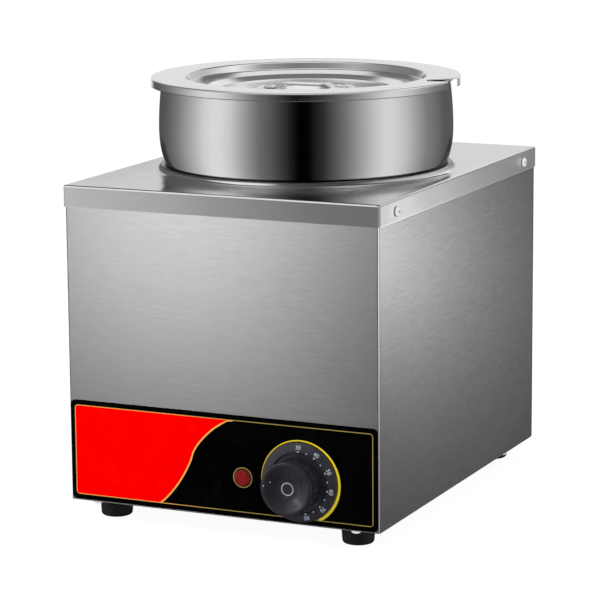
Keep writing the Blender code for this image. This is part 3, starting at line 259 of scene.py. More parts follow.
class Paint(Tree):
    """The tree of one material, with its patterns in the object's own coordinates."""

    def __init__(self, name: str) -> None:
        """Start a material.

        Args:
            name: The material's name.
        """
        self.material = bpy.data.materials.new(name)
        self.material.use_nodes = True
        super().__init__(self.material.node_tree)
        self.place = self.made("ShaderNodeTexCoord", output="Object")

    def scaled(self, x: float, y: float, z: float) -> Wire:
        """Give the place with each axis stretched by a share."""
        return self.vector_maths("MULTIPLY", self.place, (x, y, z))

    def noise(
        self, scale: float, detail: float = 3.0, rough: float = 0.55, place: Wire | None = None
    ) -> Wire:
        """Give soft noise from 0 to 1, at the object's own place if no other is given."""
        inputs = {"Vector": place or self.place, "Scale": scale, "Detail": detail, "Roughness": rough}
        return self.made("ShaderNodeTexNoise", inputs=inputs)

    def cells(self, scale: float) -> Wire:
        """Give the distance to the nearest of scattered points."""
        return self.made("ShaderNodeTexVoronoi", inputs={"Vector": self.place, "Scale": scale})

    def scratches(self, place: Wire, density: float, width: float) -> Wire:
        """Give 1 on thin random lines, a width of the noise's range, and 0 elsewhere."""
        return abs(self.noise(density, 2.0, 0.4, place) - 0.5).spread(width, 0.0)

    def bumped(self, height: Wire, depth: float, over: Wire | None = None) -> Wire:
        """Give the normal that a height makes.

        Args:
            height: The height in shares of the depth.
            depth: The depth in metres.
            over: The normal that it is laid on, or None for the surface's own.

        Returns:
            The normal.
        """
        inputs = {"Distance": depth, "Height": height}
        if over is not None:
            inputs["Normal"] = over
        return self.made("ShaderNodeBump", inputs=inputs)

    def facing(self) -> tuple[Wire, Wire, Wire]:
        """Give the three parts of the surface's own normal."""
        return self.split(self.made("ShaderNodeNewGeometry", output="Normal"))

    def surface(self, **values: "Wire | float | Colour") -> Material:
        """Close the tree with a Principled shader.

        Args:
            values: The shader's sockets, with _ for a space.

        Returns:
            The finished material.
        """
        inputs = {}
        for key, value in values.items():
            inputs[key.replace("_", " ")] = (*value, 1.0) if isinstance(value, tuple) else value
        shader = self.made("ShaderNodeBsdfPrincipled", inputs=inputs)
        self.node("ShaderNodeOutputMaterial", inputs={"Surface": shader})
        return self.material


@dataclass(frozen=True)
class BrushedSheet:
    """Stainless sheet with a fine grain that runs level round the casing."""

    name: str
    tone: float = 0.62
    swing: float = 0.16
    rough: float = 0.40
    grain: float = 900.0
    depth: float = 0.0000014
    along: Place = (0.05, 0.034, 1.0)
    front_grain: float = 0.36
    side_grain: float = 0.61
    sheen: Colour = painted(207, 207, 207)
    # Greys of the painted highlight on the front folds, at their foot and at their top.
    front_fold_highlight: Point = (0.36, 1.0)
    # Grey of the painted shade on the rear folds.
    back_fold_shade: float = 0.22

    def material(self) -> Material:
        """Write the material: grain, long streaks, faint clouds, a few scratches, a painted highlight
        on the front folds and painted shade on the rear folds.

        Returns:
            The finished material.
        """
        paint = Paint(self.name)
        fine = paint.noise(self.grain * 2.0, 3.0, 0.6, paint.scaled(*self.along))
        streak = paint.noise(self.grain * 0.45, 3.0, 0.5, paint.scaled(*self.along))
        cloud = paint.noise(11.0, 2.0, 0.5)
        mark = paint.scratches(paint.scaled(3.0, 3.0, 40.0), 5.0, 0.006)
        mark = mark * paint.noise(30.0).spread(0.60, 0.72)
        grain = fine * 0.85 + streak * 0.15
        side_x, side_y, _ = paint.facing()
        marked = abs(side_x).spread(0.3, 0.9, self.front_grain, self.side_grain)
        tone = (grain - 0.5) * 3.0 * marked + cloud.spread(0.3, 0.7, -0.02, 0.02)
        base = paint.blended(tone + 0.5, grey(self.tone - self.swing), grey(self.tone + self.swing))
        tinted = paint.blended(cloud.spread(0.35, 0.75, 0.0, 0.35), base, self.sheen)
        # Painted highlight: the front folds get a lighter grey, brightest at the top and darker
        # towards the bottom.
        fold = (abs(side_x) * (0.0 - side_y)).spread(0.26, 0.46)
        foot, top = self.front_fold_highlight
        edge = paint.blended(paint.split(paint.place)[2].spread(0.03, 0.22), grey(foot), grey(top))
        tinted = paint.blended(fold, tinted, edge)
        # Painted shade: the rear folds are darkened.
        behind = (abs(side_x) * side_y).spread(0.05, 0.22)
        tinted = paint.blended(behind, tinted, grey(self.back_fold_shade))
        rough = grain.spread(0.3, 0.7, self.rough - 0.008, self.rough + 0.008)
        rough = rough + mark * 0.05 - fold * self.rough * 0.5
        normal = paint.bumped(grain + mark * -0.6, self.depth)
        return paint.surface(Base_Color=tinted, Roughness=rough, Metallic=1.0, Normal=normal)


@dataclass(frozen=True)
class SpunSteel:
    """Polished or satin steel that was turned or pressed, with faint rings about its axis."""

    name: str
    tone: float = 0.80
    rough: float = 0.07
    ring_depth: float = 0.000004
    ring_scale: float = 420.0
    haze: float = 0.05
    belly: Point | None = None
    tilt: float = 0.10
    # Painted shade: the belly's foot and the belly seen edge-on are darkened to these greys.
    shade_top: float = 0.0060
    shade_foot: float = 0.0046
    shade: float = 0.012
    belly_edge_shade: float = 0.03
    # Painted shade: the lid's flange below the hem is darkened.
    hem: float | None = None
    hem_reach: float = 0.112
    hem_painted_tone: float = 0.34

    def material(self) -> Material:
        """Write the material: turning rings, wiping haze, hairline scratches, painted shade at the
        belly's foot and where the belly is seen edge-on, and painted shade below the hem.

        Returns:
            The finished material.
        """
        paint = Paint(self.name)
        x, y, z = paint.split(paint.place)
        reach = reach_of(x, y)
        rings = paint.noise(self.ring_scale, 4.0, 0.6, paint.joined(reach, 0.0, z))
        haze = paint.noise(16.0, 3.0, 0.6).spread(0.42, 0.72)
        hair = paint.scratches(paint.scaled(1.0, 1.6, 0.7), 26.0, 0.003)
        hair = hair * paint.noise(21.0).spread(0.56, 0.66)
        tone = rings.spread(0.3, 0.7, -0.02, 0.02) - haze * 0.03
        base = paint.blended(tone * 4.0 + 0.5, grey(self.tone - 0.05), grey(self.tone + 0.05))
        rough = rings.spread(0.3, 0.7, self.rough - 0.02, self.rough + 0.02)
        rough = rough + haze * self.haze + hair * 0.08
        over = None
        if self.belly is not None:
            low, high = self.belly
            over = self.upright(paint, z.spread(low, low + 0.0005) * z.spread(high, high - 0.012))
            # Painted shade: a dark band at the belly's foot.
            shaded = z.spread(low + self.shade_top, low + self.shade_foot) * z.above(low)
            base = paint.blended(shaded, base, grey(self.shade))
            # Painted shade: the lower belly is darkened where it is seen edge-on.
            edge = paint.made("ShaderNodeLayerWeight", output="Facing").spread(0.70, 0.82)
            edge = edge * z.spread(low + 0.030, low + 0.018)
            base = paint.blended(edge, base, grey(self.belly_edge_shade))
        if self.hem is not None:
            # Painted shade: the lid's flange below the hem is darkened.
            edge = z.below(self.hem) * reach.above(self.hem_reach)
            rough = rough + edge * 0.2
            base = paint.blended(edge, base, grey(self.hem_painted_tone))
        normal = paint.bumped(rings + hair * -0.5, self.ring_depth, over)
        return paint.surface(Base_Color=base, Roughness=rough, Metallic=1.0, Normal=normal)

    def upright(self, paint: Paint, share: Wire) -> Wire:
        """Turn the normal towards level, so that stripes run straight down a belly.

        Args:
            paint: The material's tree.
            share: How far it is turned, from 0 to 1.

        Returns:
            The normal.
        """
        side_x, side_y, side_z = paint.facing()
        level = paint.vector_maths("NORMALIZE", paint.joined(side_x, side_y, 0.0))
        level_x, level_y, _ = paint.split(level)
        kept = 1.0 - share
        turned = paint.joined(
            side_x * kept + level_x * share, side_y * kept + level_y * share,
            side_z * kept + share * self.tilt,
        )
        return paint.vector_maths("NORMALIZE", turned)


@dataclass(frozen=True)
class Satin:
    """Bright sheet as it comes from the mill: an even sheen with faint wiping marks."""

    name: str
    tone: float = 0.78
    swing: float = 0.12
    rough: float = 0.17
    end_rough: float = 0.28
    # Share of the tone for the painted shade on the skirt's ends.
    end_shade: float = 0.84
    middle: Point = (0.0, 0.0)
    crown: float = 0.1085
    # Share of the tone for the painted shade round the collar's crown.
    hole_shade: float = 0.22
    hem: float = 0.0
    # Grey of the painted highlight along the skirt's lower edge.
    hem_painted_tone: float = 0.95

    def material(self) -> Material:
        """Write the material: fine even grain, wiping clouds, scattered scratches, painted shade on
        the skirt's ends and round the collar's crown, and a painted highlight along the skirt's lower
        edge.

        Returns:
            The finished material.
        """
        paint = Paint(self.name)
        side_x, _, side_z = paint.facing()
        x, y, z = paint.split(paint.place)
        fine = paint.noise(2600.0, 3.0, 0.6, paint.scaled(0.05, 1.0, 1.0))
        wiped = paint.noise(14.0, 4.0, 0.62, paint.scaled(1.0, 0.45, 1.0))
        line = paint.scratches(paint.scaled(1.0, 0.35, 1.0), 34.0, 0.003)
        line = line * paint.noise(17.0).spread(0.55, 0.66) * abs(side_z)
        tone = fine.spread(0.3, 0.7, -0.10, 0.10) + wiped.spread(0.35, 0.7, 0.10, -0.10)
        base = paint.blended(tone + 0.5, grey(self.tone - self.swing), grey(self.tone + self.swing))
        # Painted shade: the skirt's side ends are darkened.
        ends = abs(side_x).spread(0.45, 0.80)
        base = paint.blended(ends, base, grey(self.tone * self.end_shade))
        # Painted highlight: a lighter line along the skirt's lower edge.
        hem = z.spread(self.hem + 0.0006, self.hem + 0.0003)
        base = paint.blended(hem, base, grey(self.hem_painted_tone))
        # Painted shade: a dark ring round the collar's crown, under the pot.
        reach = reach_of(x - self.middle[0], y - self.middle[1])
        shaded = reach.spread(self.crown + 0.0022, self.crown + 0.0008)
        base = paint.blended(shaded, base, grey(self.tone * self.hole_shade))
        rough = wiped.spread(0.35, 0.7, self.rough - 0.03, self.rough + 0.05)
        rough = rough + line * 0.1 + ends * self.end_rough
        normal = paint.bumped(fine * 0.7 + line * -0.6, 0.000006)
        return paint.surface(Base_Color=base, Roughness=rough, Metallic=1.0, Normal=normal)


@dataclass(frozen=True)
class Film:
    """Printed plastic film or ink on it: an even colour with a slight orange peel."""

    name: str
    colour: Colour
    rough: float = 0.16
    metal: float = 0.0
    shine: float = 0.2
    turns: Colour | None = None
    turn_from: Point = (-0.05, 0.01)

    def material(self) -> Material:
        """Write the material: shallow peel, dust and a few rubbed places.

        Returns:
            The finished material.
        """
        paint = Paint(self.name)
        peel = paint.noise(900.0, 2.0, 0.5)
        rubbed = paint.noise(45.0, 4.0, 0.65).spread(0.52, 0.75)
        dust = paint.cells(700.0).spread(0.10, 0.02)
        dust = dust * paint.noise(90.0).spread(0.5, 0.7)
        lighter = tuple(min(1.0, part * 1.06 + 0.004) for part in self.colour)
        base = paint.blended(rubbed * 0.5 + dust * 0.3, self.colour, lighter)
        if self.turns is not None:
            turned = paint.split(paint.place)[0].spread(*self.turn_from)
            base = paint.blended(turned, base, self.turns)
        rough = peel.spread(0.2, 0.8, self.rough - 0.02, self.rough + 0.02) + rubbed * 0.05
        return paint.surface(
            Base_Color=base, Roughness=rough, Metallic=self.metal,
            Normal=paint.bumped(peel, 0.000008), Specular_IOR_Level=self.shine,
        )


@dataclass(frozen=True)
class Moulded:
    """Moulded plastic or rubber with a fine spark-eroded texture."""

    name: str
    colour: Colour
    rough: float = 0.42
    texture: float = 2400.0
    depth: float = 0.00002
    wear: float = 0.5

    def material(self) -> Material:
        """Write the material: mould texture, colour drift and rubbed edges.

        Returns:
            The finished material.
        """
        paint = Paint(self.name)
        pits = paint.noise(self.texture, 3.0, 0.6)
        drift = paint.noise(60.0, 3.0, 0.6)
        pointed = paint.made("ShaderNodeNewGeometry", output="Pointiness")
        rubbed = pointed.spread(0.52, 0.60) * self.wear * drift.spread(0.3, 0.7, 0.5, 1.0)
        lighter = tuple(min(1.0, part * 1.7 + 0.012) for part in self.colour)
        base = paint.blended(drift.spread(0.3, 0.7, 0.0, 0.25) + rubbed * 0.5, self.colour, lighter)
        rough = pits.spread(0.25, 0.75, self.rough - 0.06, self.rough + 0.06) - rubbed * 0.1
        normal = paint.bumped(pits, self.depth)
        return paint.surface(Base_Color=base, Roughness=rough, Normal=normal, Specular_IOR_Level=0.5)


@dataclass(frozen=True)
class RedGlow:
    """Clear red moulding of the pilot lamp, seen unlit over its white barrel."""

    name: str
    colour: Colour
    middle: Point
    pitch: float = 0.0014
    # Colour of the painted glints on the prism tips.
    tip: Colour = painted(226, 96, 104)

    def material(self) -> Material:
        """Write the material: painted shade towards the rim, painted glints on the prism tips and
        moulding ripples.

        Returns:
            The finished material.
        """
        paint = Paint(self.name)
        x, _, z = paint.split(paint.place)
        across, up = x - self.middle[0], z - self.middle[1]
        turns = tau / self.pitch
        # Painted glints: lighter dots on a grid at the prism tips.
        waves = (across * turns).alone("COSINE") + (up * turns).alone("COSINE")
        tips = waves.spread(1.1, 1.8, 0.0, 0.8)
        # Painted shade: the lens darkens towards its rim.
        rim = reach_of(across, up).spread(0.0046, 0.0058)
        ripple = paint.noise(520.0, 2.0, 0.5)
        painted_rim_shade = tuple(part * 0.30 for part in self.colour)
        body = paint.blended(rim, self.colour, painted_rim_shade)
        base = paint.blended(tips * (1.0 - rim) * ripple.spread(0.2, 0.6), body, self.tip)
        rough = ripple.spread(0.2, 0.8, 0.14, 0.24)
        normal = paint.bumped(ripple, 0.00001)
        return paint.surface(
            Base_Color=base, Roughness=rough, Normal=normal, Coat_Weight=0.1, IOR=1.49
        )


@dataclass(frozen=True)
class Plated:
    """Plated or bare small metal parts: a tinted metal with dull patches."""

    name: str
    colour: Colour
    rough: float = 0.28

    def material(self) -> Material:
        """Write the material: turning lines, dull patches and tool marks.

        Returns:
            The finished material.
        """
        paint = Paint(self.name)
        patch = paint.noise(260.0, 4.0, 0.65)
        line = paint.noise(1500.0, 2.0, 0.5, paint.scaled(1.0, 1.0, 6.0))
        dull = tuple(part * 0.72 for part in self.colour)
        base = paint.blended(patch.spread(0.45, 0.75), self.colour, dull)
        rough = patch.spread(0.3, 0.75, self.rough - 0.06, self.rough + 0.16)
        normal = paint.bumped(line * 0.5 + patch * 0.5, 0.00002)
        return paint.surface(Base_Color=base, Roughness=rough, Metallic=1.0, Normal=normal)


def middle_of(node: str) -> Vector:
    """Give the middle of a CAD node's box."""
    low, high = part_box(node)
    return (low + high) / 2


class Finishes:
    """Every finish of the object, each made once."""

    def __init__(self) -> None:
        """Make the materials."""
        self.casing = BrushedSheet("casing_brushed").material()
        pot, lens = middle_of("soup_pot"), middle_of("pilot_lens")
        self.deck = Satin(
            "deck_satin", middle=(pot.x, pot.y), hem=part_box("top_deck")[0].z
        ).material()
        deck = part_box("soup_pot")[0].z + Vessel.depth
        self.pot = SpunSteel(
            "pot_polished", tone=0.86, rough=0.045, belly=(deck - 0.0005, deck + 0.042)
        ).material()
        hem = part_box("lid")[1].z - Cover.flange + 0.0006
        self.lid = SpunSteel("lid_polished", tone=0.84, rough=0.08, haze=0.06, hem=hem).material()
        self.strap = BrushedSheet(
            "strap_satin", tone=0.80, rough=0.16, grain=700.0, along=(0.05, 1.0, 1.0)
        ).material()
        self.tank = SpunSteel("tank_drawn", tone=0.66, rough=0.20, haze=0.12).material()
        self.label = Film("label_black", grey(0.0004), rough=0.20, shine=0.03).material()
        self.red_ink = Film("label_red", (1.0, 0.0, 0.0), rough=0.35, shine=0.0).material()
        gold = painted(244, 184, 84)
        self.gold_ink = Film("label_gold", gold, rough=0.30, metal=0.1).material()
        self.pale_gold_ink = Film(
            "label_pale_gold", painted(228, 170, 80), rough=0.30, metal=0.1,
            turns=painted(166, 145, 78),
        ).material()
        self.yellow_ink = Film("label_yellow", painted(240, 212, 44), rough=0.30).material()
        self.white_ink = Film("dial_white", painted(178, 190, 206), rough=0.35).material()
        self.dial = Moulded("dial_black", painted(42, 41, 49), rough=0.34).material()
        self.knob = Moulded(
            "knob_black", painted(29, 28, 35), rough=0.26, depth=0.000002, wear=0.1
        ).material()
        self.black = Moulded("black_plastic", painted(30, 30, 32), rough=0.4).material()
        self.rubber = Moulded(
            "foot_rubber", painted(22, 22, 23), rough=0.62, texture=1500.0, depth=0.00004
        ).material()
        self.grey = Moulded("grey_plastic", painted(120, 122, 124), rough=0.45).material()
        self.nylon = Moulded("nylon_natural", painted(214, 210, 196), rough=0.5).material()
        self.lens = RedGlow("lens_red", painted(140, 5, 10), (lens.x, lens.z)).material()
        self.zinc = Plated("screw_plated", grey(0.72)).material()
        self.brass = Plated("brass_bare", painted(206, 176, 104), rough=0.3).material()
        self.copper = Plated("copper_bare", painted(214, 140, 108), rough=0.3).material()

    def for_slot(self, slot: str) -> Material:
        """Give the finish that a CAD node which stays gets.

        Args:
            slot: The node's slot in the record.

        Returns:
            Its material.
        """
        return {
            "casing_steel": self.casing, "tank_steel": self.tank, "pot_steel": self.pot,
            "lid_steel": self.lid, "label_print": self.label, "red_lens": self.lens,
            "dark_plastic": self.black, "grey_plastic": self.grey, "nylon": self.nylon,
            "zinc_steel": self.zinc, "brass": self.brass, "copper": self.copper,
            "rubber": self.rubber,
        }[slot]


def hung(name: str, data: bpy.types.ID) -> Object:
    """Link a new object with this data to the scene.

    Args:
        name: The object's name.
        data: Its mesh, curve, light or camera.

    Returns:
        The object.
    """
    item = bpy.data.objects.new(name, data)
    bpy.context.scene.collection.objects.link(item)
    return item


def settled(item: Object) -> Mesh:
    """Turn an object with its modifiers into a plain mesh, and take the object away.

    Args:
        item: The object.

    Returns:
        Its evaluated mesh.
    """
    depsgraph = bpy.context.evaluated_depsgraph_get()
    depsgraph.update()
    made = bpy.data.meshes.new_from_object(item.evaluated_get(depsgraph), depsgraph=depsgraph)
    bpy.data.objects.remove(item, do_unlink=True)
    return made


def poured(bm: BMesh, name: str, finish: Material) -> Mesh:
    """Turn a bmesh into a mesh of one finish.

    Args:
        bm: The bmesh, which is freed.
        name: The mesh's name.
        finish: Its material.

    Returns:
        The mesh.
    """
    mesh = bpy.data.meshes.new(name)
    bm.to_mesh(mesh)
    bm.free()
    mesh.materials.append(finish)
    return mesh


def skin(bm: BMesh, rows: list[list[BMVert]]) -> list[list[BMVert]]:
    """Put faces between each closed row of points and the next.

    Args:
        bm: The bmesh of the points.
        rows: The rows, each with as many points as the others.

    Returns:
        The rows.
    """
    for near, far in zip(rows, rows[1:]):
        for index in range(len(near)):
            after = (index + 1) % len(near)
            bm.faces.new((near[index], near[after], far[after], far[index]))
    return rows


def lofted(bm: BMesh, loops: list[list[Place]]) -> list[list[BMVert]]:
    """Put closed loops of points in a bmesh, with faces from each to the next."""
    return skin(bm, [[bm.verts.new(spot) for spot in loop] for loop in loops])


class Recipe:
    """A Geometry Nodes tree with named inputs, run once on a base mesh."""

    def __init__(self, name: str, inputs: dict[str, float | int | None]) -> None:
        """Start a tree.

        Args:
            name: The tree's name.
            inputs: Each input's plain value by name, or None for an object.
        """
        self.group = bpy.data.node_groups.new(name, "GeometryNodeTree")
        face = self.group.interface
        face.new_socket("Base", in_out="INPUT", socket_type="NodeSocketGeometry")
        kinds = {float: "Float", int: "Int", type(None): "Object"}
        self.keys = {}
        for label, value in inputs.items():
            kind = "NodeSocket" + kinds[type(value)]
            socket = face.new_socket(label, in_out="INPUT", socket_type=kind)
            if value is not None:
                socket.default_value = value
            self.keys[label] = socket.identifier
        finish = face.new_socket("Finish", in_out="INPUT", socket_type="NodeSocketMaterial")
        self.keys["Finish"] = finish.identifier
        face.new_socket("Made", in_out="OUTPUT", socket_type="NodeSocketGeometry")
        self.tree = Tree(self.group)
        self.source = self.tree.node("NodeGroupInput")

    def given(self, label: str) -> Wire:
        """Give the wire of a named input."""
        return self.tree.wire(self.source, label)

    def close(self, shape: Wire) -> None:
        """End the tree in Realize Instances and Set Material.

        Args:
            shape: The geometry that the tree has made.
        """
        real = self.tree.made("GeometryNodeRealizeInstances", inputs={"Geometry": shape})
        dressed = self.tree.made(
            "GeometryNodeSetMaterial", inputs={"Geometry": real, "Material": self.given("Finish")}
        )
        self.tree.node("NodeGroupOutput", inputs={0: dressed})

    def run(
        self, base: Mesh, finish: Material, **values: object
    ) -> Mesh:
        """Run the tree on a base mesh.

        Args:
            base: The mesh that the tree starts from.
            finish: The material of what it makes.
            values: The named inputs that differ from their plain values, with _ for a space.

        Returns:
            A plain mesh.
        """
        holder = hung(self.group.name + "_holder", base)
        modifier = holder.modifiers.new("recipe", "NODES")
        modifier.node_group = self.group
        modifier[self.keys["Finish"]] = finish
        for label, value in values.items():
            modifier[self.keys[label.replace("_", " ")]] = value
        return settled(holder)


def points_mesh(points: list[Place], facing: list[Place] | None = None) -> Mesh:
    """Make a mesh of loose points, with the way that each one faces.

    Args:
        points: The points.
        facing: The way of each point, or None where it isn't needed.

    Returns:
        The mesh.
    """
    mesh = bpy.data.meshes.new("points")
    mesh.from_pydata(points, [], [])
    if facing is not None:
        attribute = mesh.attributes.new("facing", "FLOAT_VECTOR", "POINT")
        for index, way in enumerate(facing):
            attribute.data[index].vector = way
    return mesh


class SpunRecipe(Recipe):
    """Turns a profile of points (radius, 0, height) about Z into a body."""

    def __init__(self) -> None:
        """Write the tree: a grid whose points sample the profile and go round the axis."""
        super().__init__("spun_body", {"Steps": 96})
        tree, base, steps = self.tree, self.given("Base"), self.given("Steps")
        size = tree.made("GeometryNodeAttributeDomainSize", inputs={"Geometry": base})
        grid = tree.made(
            "GeometryNodeMeshGrid", inputs={"Vertices X": steps + 1.0, "Vertices Y": size}
        )
        index = tree.made("GeometryNodeInputIndex")
        column, row = (index / size).alone("FLOOR"), index % size
        sample = tree.made(
            "GeometryNodeSampleIndex", {"data_type": "FLOAT_VECTOR", "domain": "POINT"},
            {"Geometry": base, "Value": tree.made("GeometryNodeInputPosition"), "Index": row},
        )
        radius, _, height = tree.split(sample)
        angle = column / steps * tau
        place = tree.joined(radius * angle.alone("COSINE"), radius * angle.alone("SINE"), height)
        moved = tree.made("GeometryNodeSetPosition", inputs={"Geometry": grid, "Position": place})
        self.close(tree.made(
            "GeometryNodeMergeByDistance", inputs={"Geometry": moved, "Distance": DOUBLES}
        ))


class FastenerRecipe(Recipe):
    """Sets a copy of one part on each point, turned the way that the point faces."""

    def __init__(self) -> None:
        """Write the tree: cross recess, copies on the points, a fixed random twist."""
        super().__init__("fastener_set", {
            "Head": None,
            "Recess Length": 0.0026,
            "Recess Width": 0.0007,
            "Recess Depth": 0.0011,
            "Head Height": 0.0022,
            "Seed": 7,
        })
        tree, level, depth = self.tree, self.given("Head Height"), self.given("Recess Depth")
        long, wide = self.given("Recess Length"), self.given("Recess Width")
        head = tree.made(
            "GeometryNodeObjectInfo", {"transform_space": "ORIGINAL"},
            {"Object": self.given("Head")}, "Geometry",
        )
        cut = tree.node(
            "GeometryNodeMeshBoolean", {"operation": "DIFFERENCE", "solver": "EXACT"}, {0: head}
        )
        for x, y in ((long, wide), (wide, long)):
            bar = tree.made("GeometryNodeMeshCube", inputs={"Size": tree.joined(x, y, depth * 2.0)})
            lifted = tree.made(
                "GeometryNodeTransform",
                inputs={"Geometry": bar, "Translation": tree.joined(0.0, 0.0, level)},
            )
            tree.tree.links.new(lifted.socket, cut.inputs[1])
        facing = tree.made(
            "GeometryNodeInputNamedAttribute", {"data_type": "FLOAT_VECTOR"}, {"Name": "facing"}
        )
        aligned = tree.made("FunctionNodeAlignEulerToVector", {"axis": "Z"}, {"Vector": facing})
        twist = tree.made(
            "FunctionNodeRandomValue", {"data_type": "FLOAT"},
            {2: 0.0, 3: pi, "Seed": self.given("Seed")}, 1,
        )
        turned = tree.made(
            "FunctionNodeRotateEuler", {"rotation_type": "AXIS_ANGLE", "space": "LOCAL"},
            {"Rotation": aligned, "Axis": (0.0, 0.0, 1.0), "Angle": twist},
        )
        self.close(tree.made("GeometryNodeInstanceOnPoints", inputs={
            "Points": self.given("Base"), "Instance": tree.wire(cut), "Rotation": turned,
        }))


class ArcRecipe(Recipe):
    """Sets copies of the base mesh along an arc about Z."""

    def __init__(self) -> None:
        """Write the tree: points on an arc, copies turned outwards."""
        super().__init__("arc_of_copies", {
            "Count": 8,
            "Radius": 0.02,
            "Start": 0.0,
            "Pitch": 0.5,
        })
        tree = self.tree
        radius = self.given("Radius")
        angle = self.given("Start") + tree.made("GeometryNodeInputIndex") * self.given("Pitch")
        place = tree.joined(radius * angle.alone("COSINE"), radius * angle.alone("SINE"), 0.0)
        points = tree.made(
            "GeometryNodePoints", inputs={"Count": self.given("Count"), "Position": place}
        )
        self.close(tree.made("GeometryNodeInstanceOnPoints", inputs={
            "Points": points, "Instance": self.given("Base"),
            "Rotation": tree.joined(0.0, 0.0, angle),
        }))


class PrismRecipe(Recipe):
    """Covers a disc with small square pyramids, as on a pilot lamp's lens."""

    def __init__(self) -> None:
        """Write the tree: a grid of points, kept inside the disc, with a pyramid on each."""
        super().__init__("lens_prisms", {
            "Disc Radius": 0.0056,
            "Pitch": 0.0011,
            "Count": 11,
            "Rise": 0.0005,
            "Dome": 0.001,
        })
        tree, pitch = self.tree, self.given("Pitch")
        count, rim = self.given("Count"), self.given("Disc Radius")
        side = (count - 1.0) * pitch
        grid = tree.made(
            "GeometryNodeMeshGrid",
            inputs={"Size X": side, "Size Y": side, "Vertices X": count, "Vertices Y": count},
        )
        x, y, _ = tree.split(tree.made("GeometryNodeInputPosition"))
        reach = reach_of(x, y)
        domed = tree.made("GeometryNodeSetPosition", inputs={
            "Geometry": grid,
            "Position": tree.joined(x, y, self.given("Dome") * (1.0 - (reach / rim) ** 2.0)),
        })
        prism = tree.made("GeometryNodeMeshCone", {"fill_type": "NGON"}, {
            "Vertices": 4, "Radius Top": 0.0, "Radius Bottom": pitch * 0.7071,
            "Depth": self.given("Rise"),
        })
        turned = tree.made(
            "GeometryNodeTransform",
            inputs={"Geometry": prism, "Rotation": (0.0, 0.0, pi / 4)},
        )
        self.close(tree.made("GeometryNodeInstanceOnPoints", inputs={
            "Points": domed, "Selection": reach.below(rim - pitch * 0.45), "Instance": turned,
        }))


def rounded(corners: list[tuple[float, float, float]], steps: int = 6) -> list[Point]:
    """Round the corners of a chain.

    Args:
        corners: Points as (x, z, corner radius).
        steps: Steps of each rounded corner.

    Returns:
        The chain's points.
    """
    points = []
    for index, (x, z, radius) in enumerate(corners):
        if radius == 0 or index in (0, len(corners) - 1):
            points.append((x, z))
            continue
        here = Vector((x, z))
        before = Vector(corners[index - 1][:2]) - here
        after = Vector(corners[index + 1][:2]) - here
        half = before.angle(after) / 2
        reach = min(radius / tan(half), before.length * 0.49, after.length * 0.49)
        bisector = (before.normalized() + after.normalized()).normalized()
        centre = here + bisector * (reach / cos(half))
        start = here + before.normalized() * reach - centre
        sweep = start.angle_signed(here + after.normalized() * reach - centre)
        for step in range(steps + 1):
            angle = sweep * step / steps
            points.append((
                centre.x + start.x * cos(angle) + start.y * sin(angle),
                centre.y + start.y * cos(angle) - start.x * sin(angle),
            ))
    return points


def walled(chain: list[Point], wall: float) -> list[Point]:
    """Close a chain with its copy moved to the left by a wall's thickness.

    Args:
        chain: The points of the one side.
        wall: The thickness; below 0 it goes to the right.

    Returns:
        The closed outline.
    """
    moved = []
    for index, point in enumerate(chain):
        here = Vector(point)
        sides = []
        if index > 0:
            sides.append((here - Vector(chain[index - 1])).normalized())
        if index < len(chain) - 1:
            sides.append((Vector(chain[index + 1]) - here).normalized())
        normals = [Vector((-side.y, side.x)) for side in sides]
        mitre = sum(normals, Vector((0, 0))).normalized()
        spot = here + mitre * (wall / mitre.dot(normals[0]))
        if here.x == 0:
            spot.x = 0
        moved.append((spot.x, spot.y))
    return list(chain) + moved[::-1]


def smooth_chain(points: list[Point], steps: int) -> list[Point]:
    """Run a soft curve through a chain of points.

    Args:
        points: The points.
        steps: Steps from each point to the next.

    Returns:
        The curve's points.
    """
    out = []
    padded = [points[0]] + list(points) + [points[-1]]
    for first, second, third, fourth in zip(padded, padded[1:], padded[2:], padded[3:]):
        for step in range(steps):
            t = step / steps
            spot = []
            for a, b, c, d in zip(first, second, third, fourth):
                spot.append(
                    b + (c - a) * t / 2 + (a - 2.5 * b + 2 * c - d / 2) * t * t
                    + (1.5 * b - a / 2 - 1.5 * c + d / 2) * t ** 3
                )
            out.append((spot[0], spot[1]))
    out.append(points[-1])
    return out


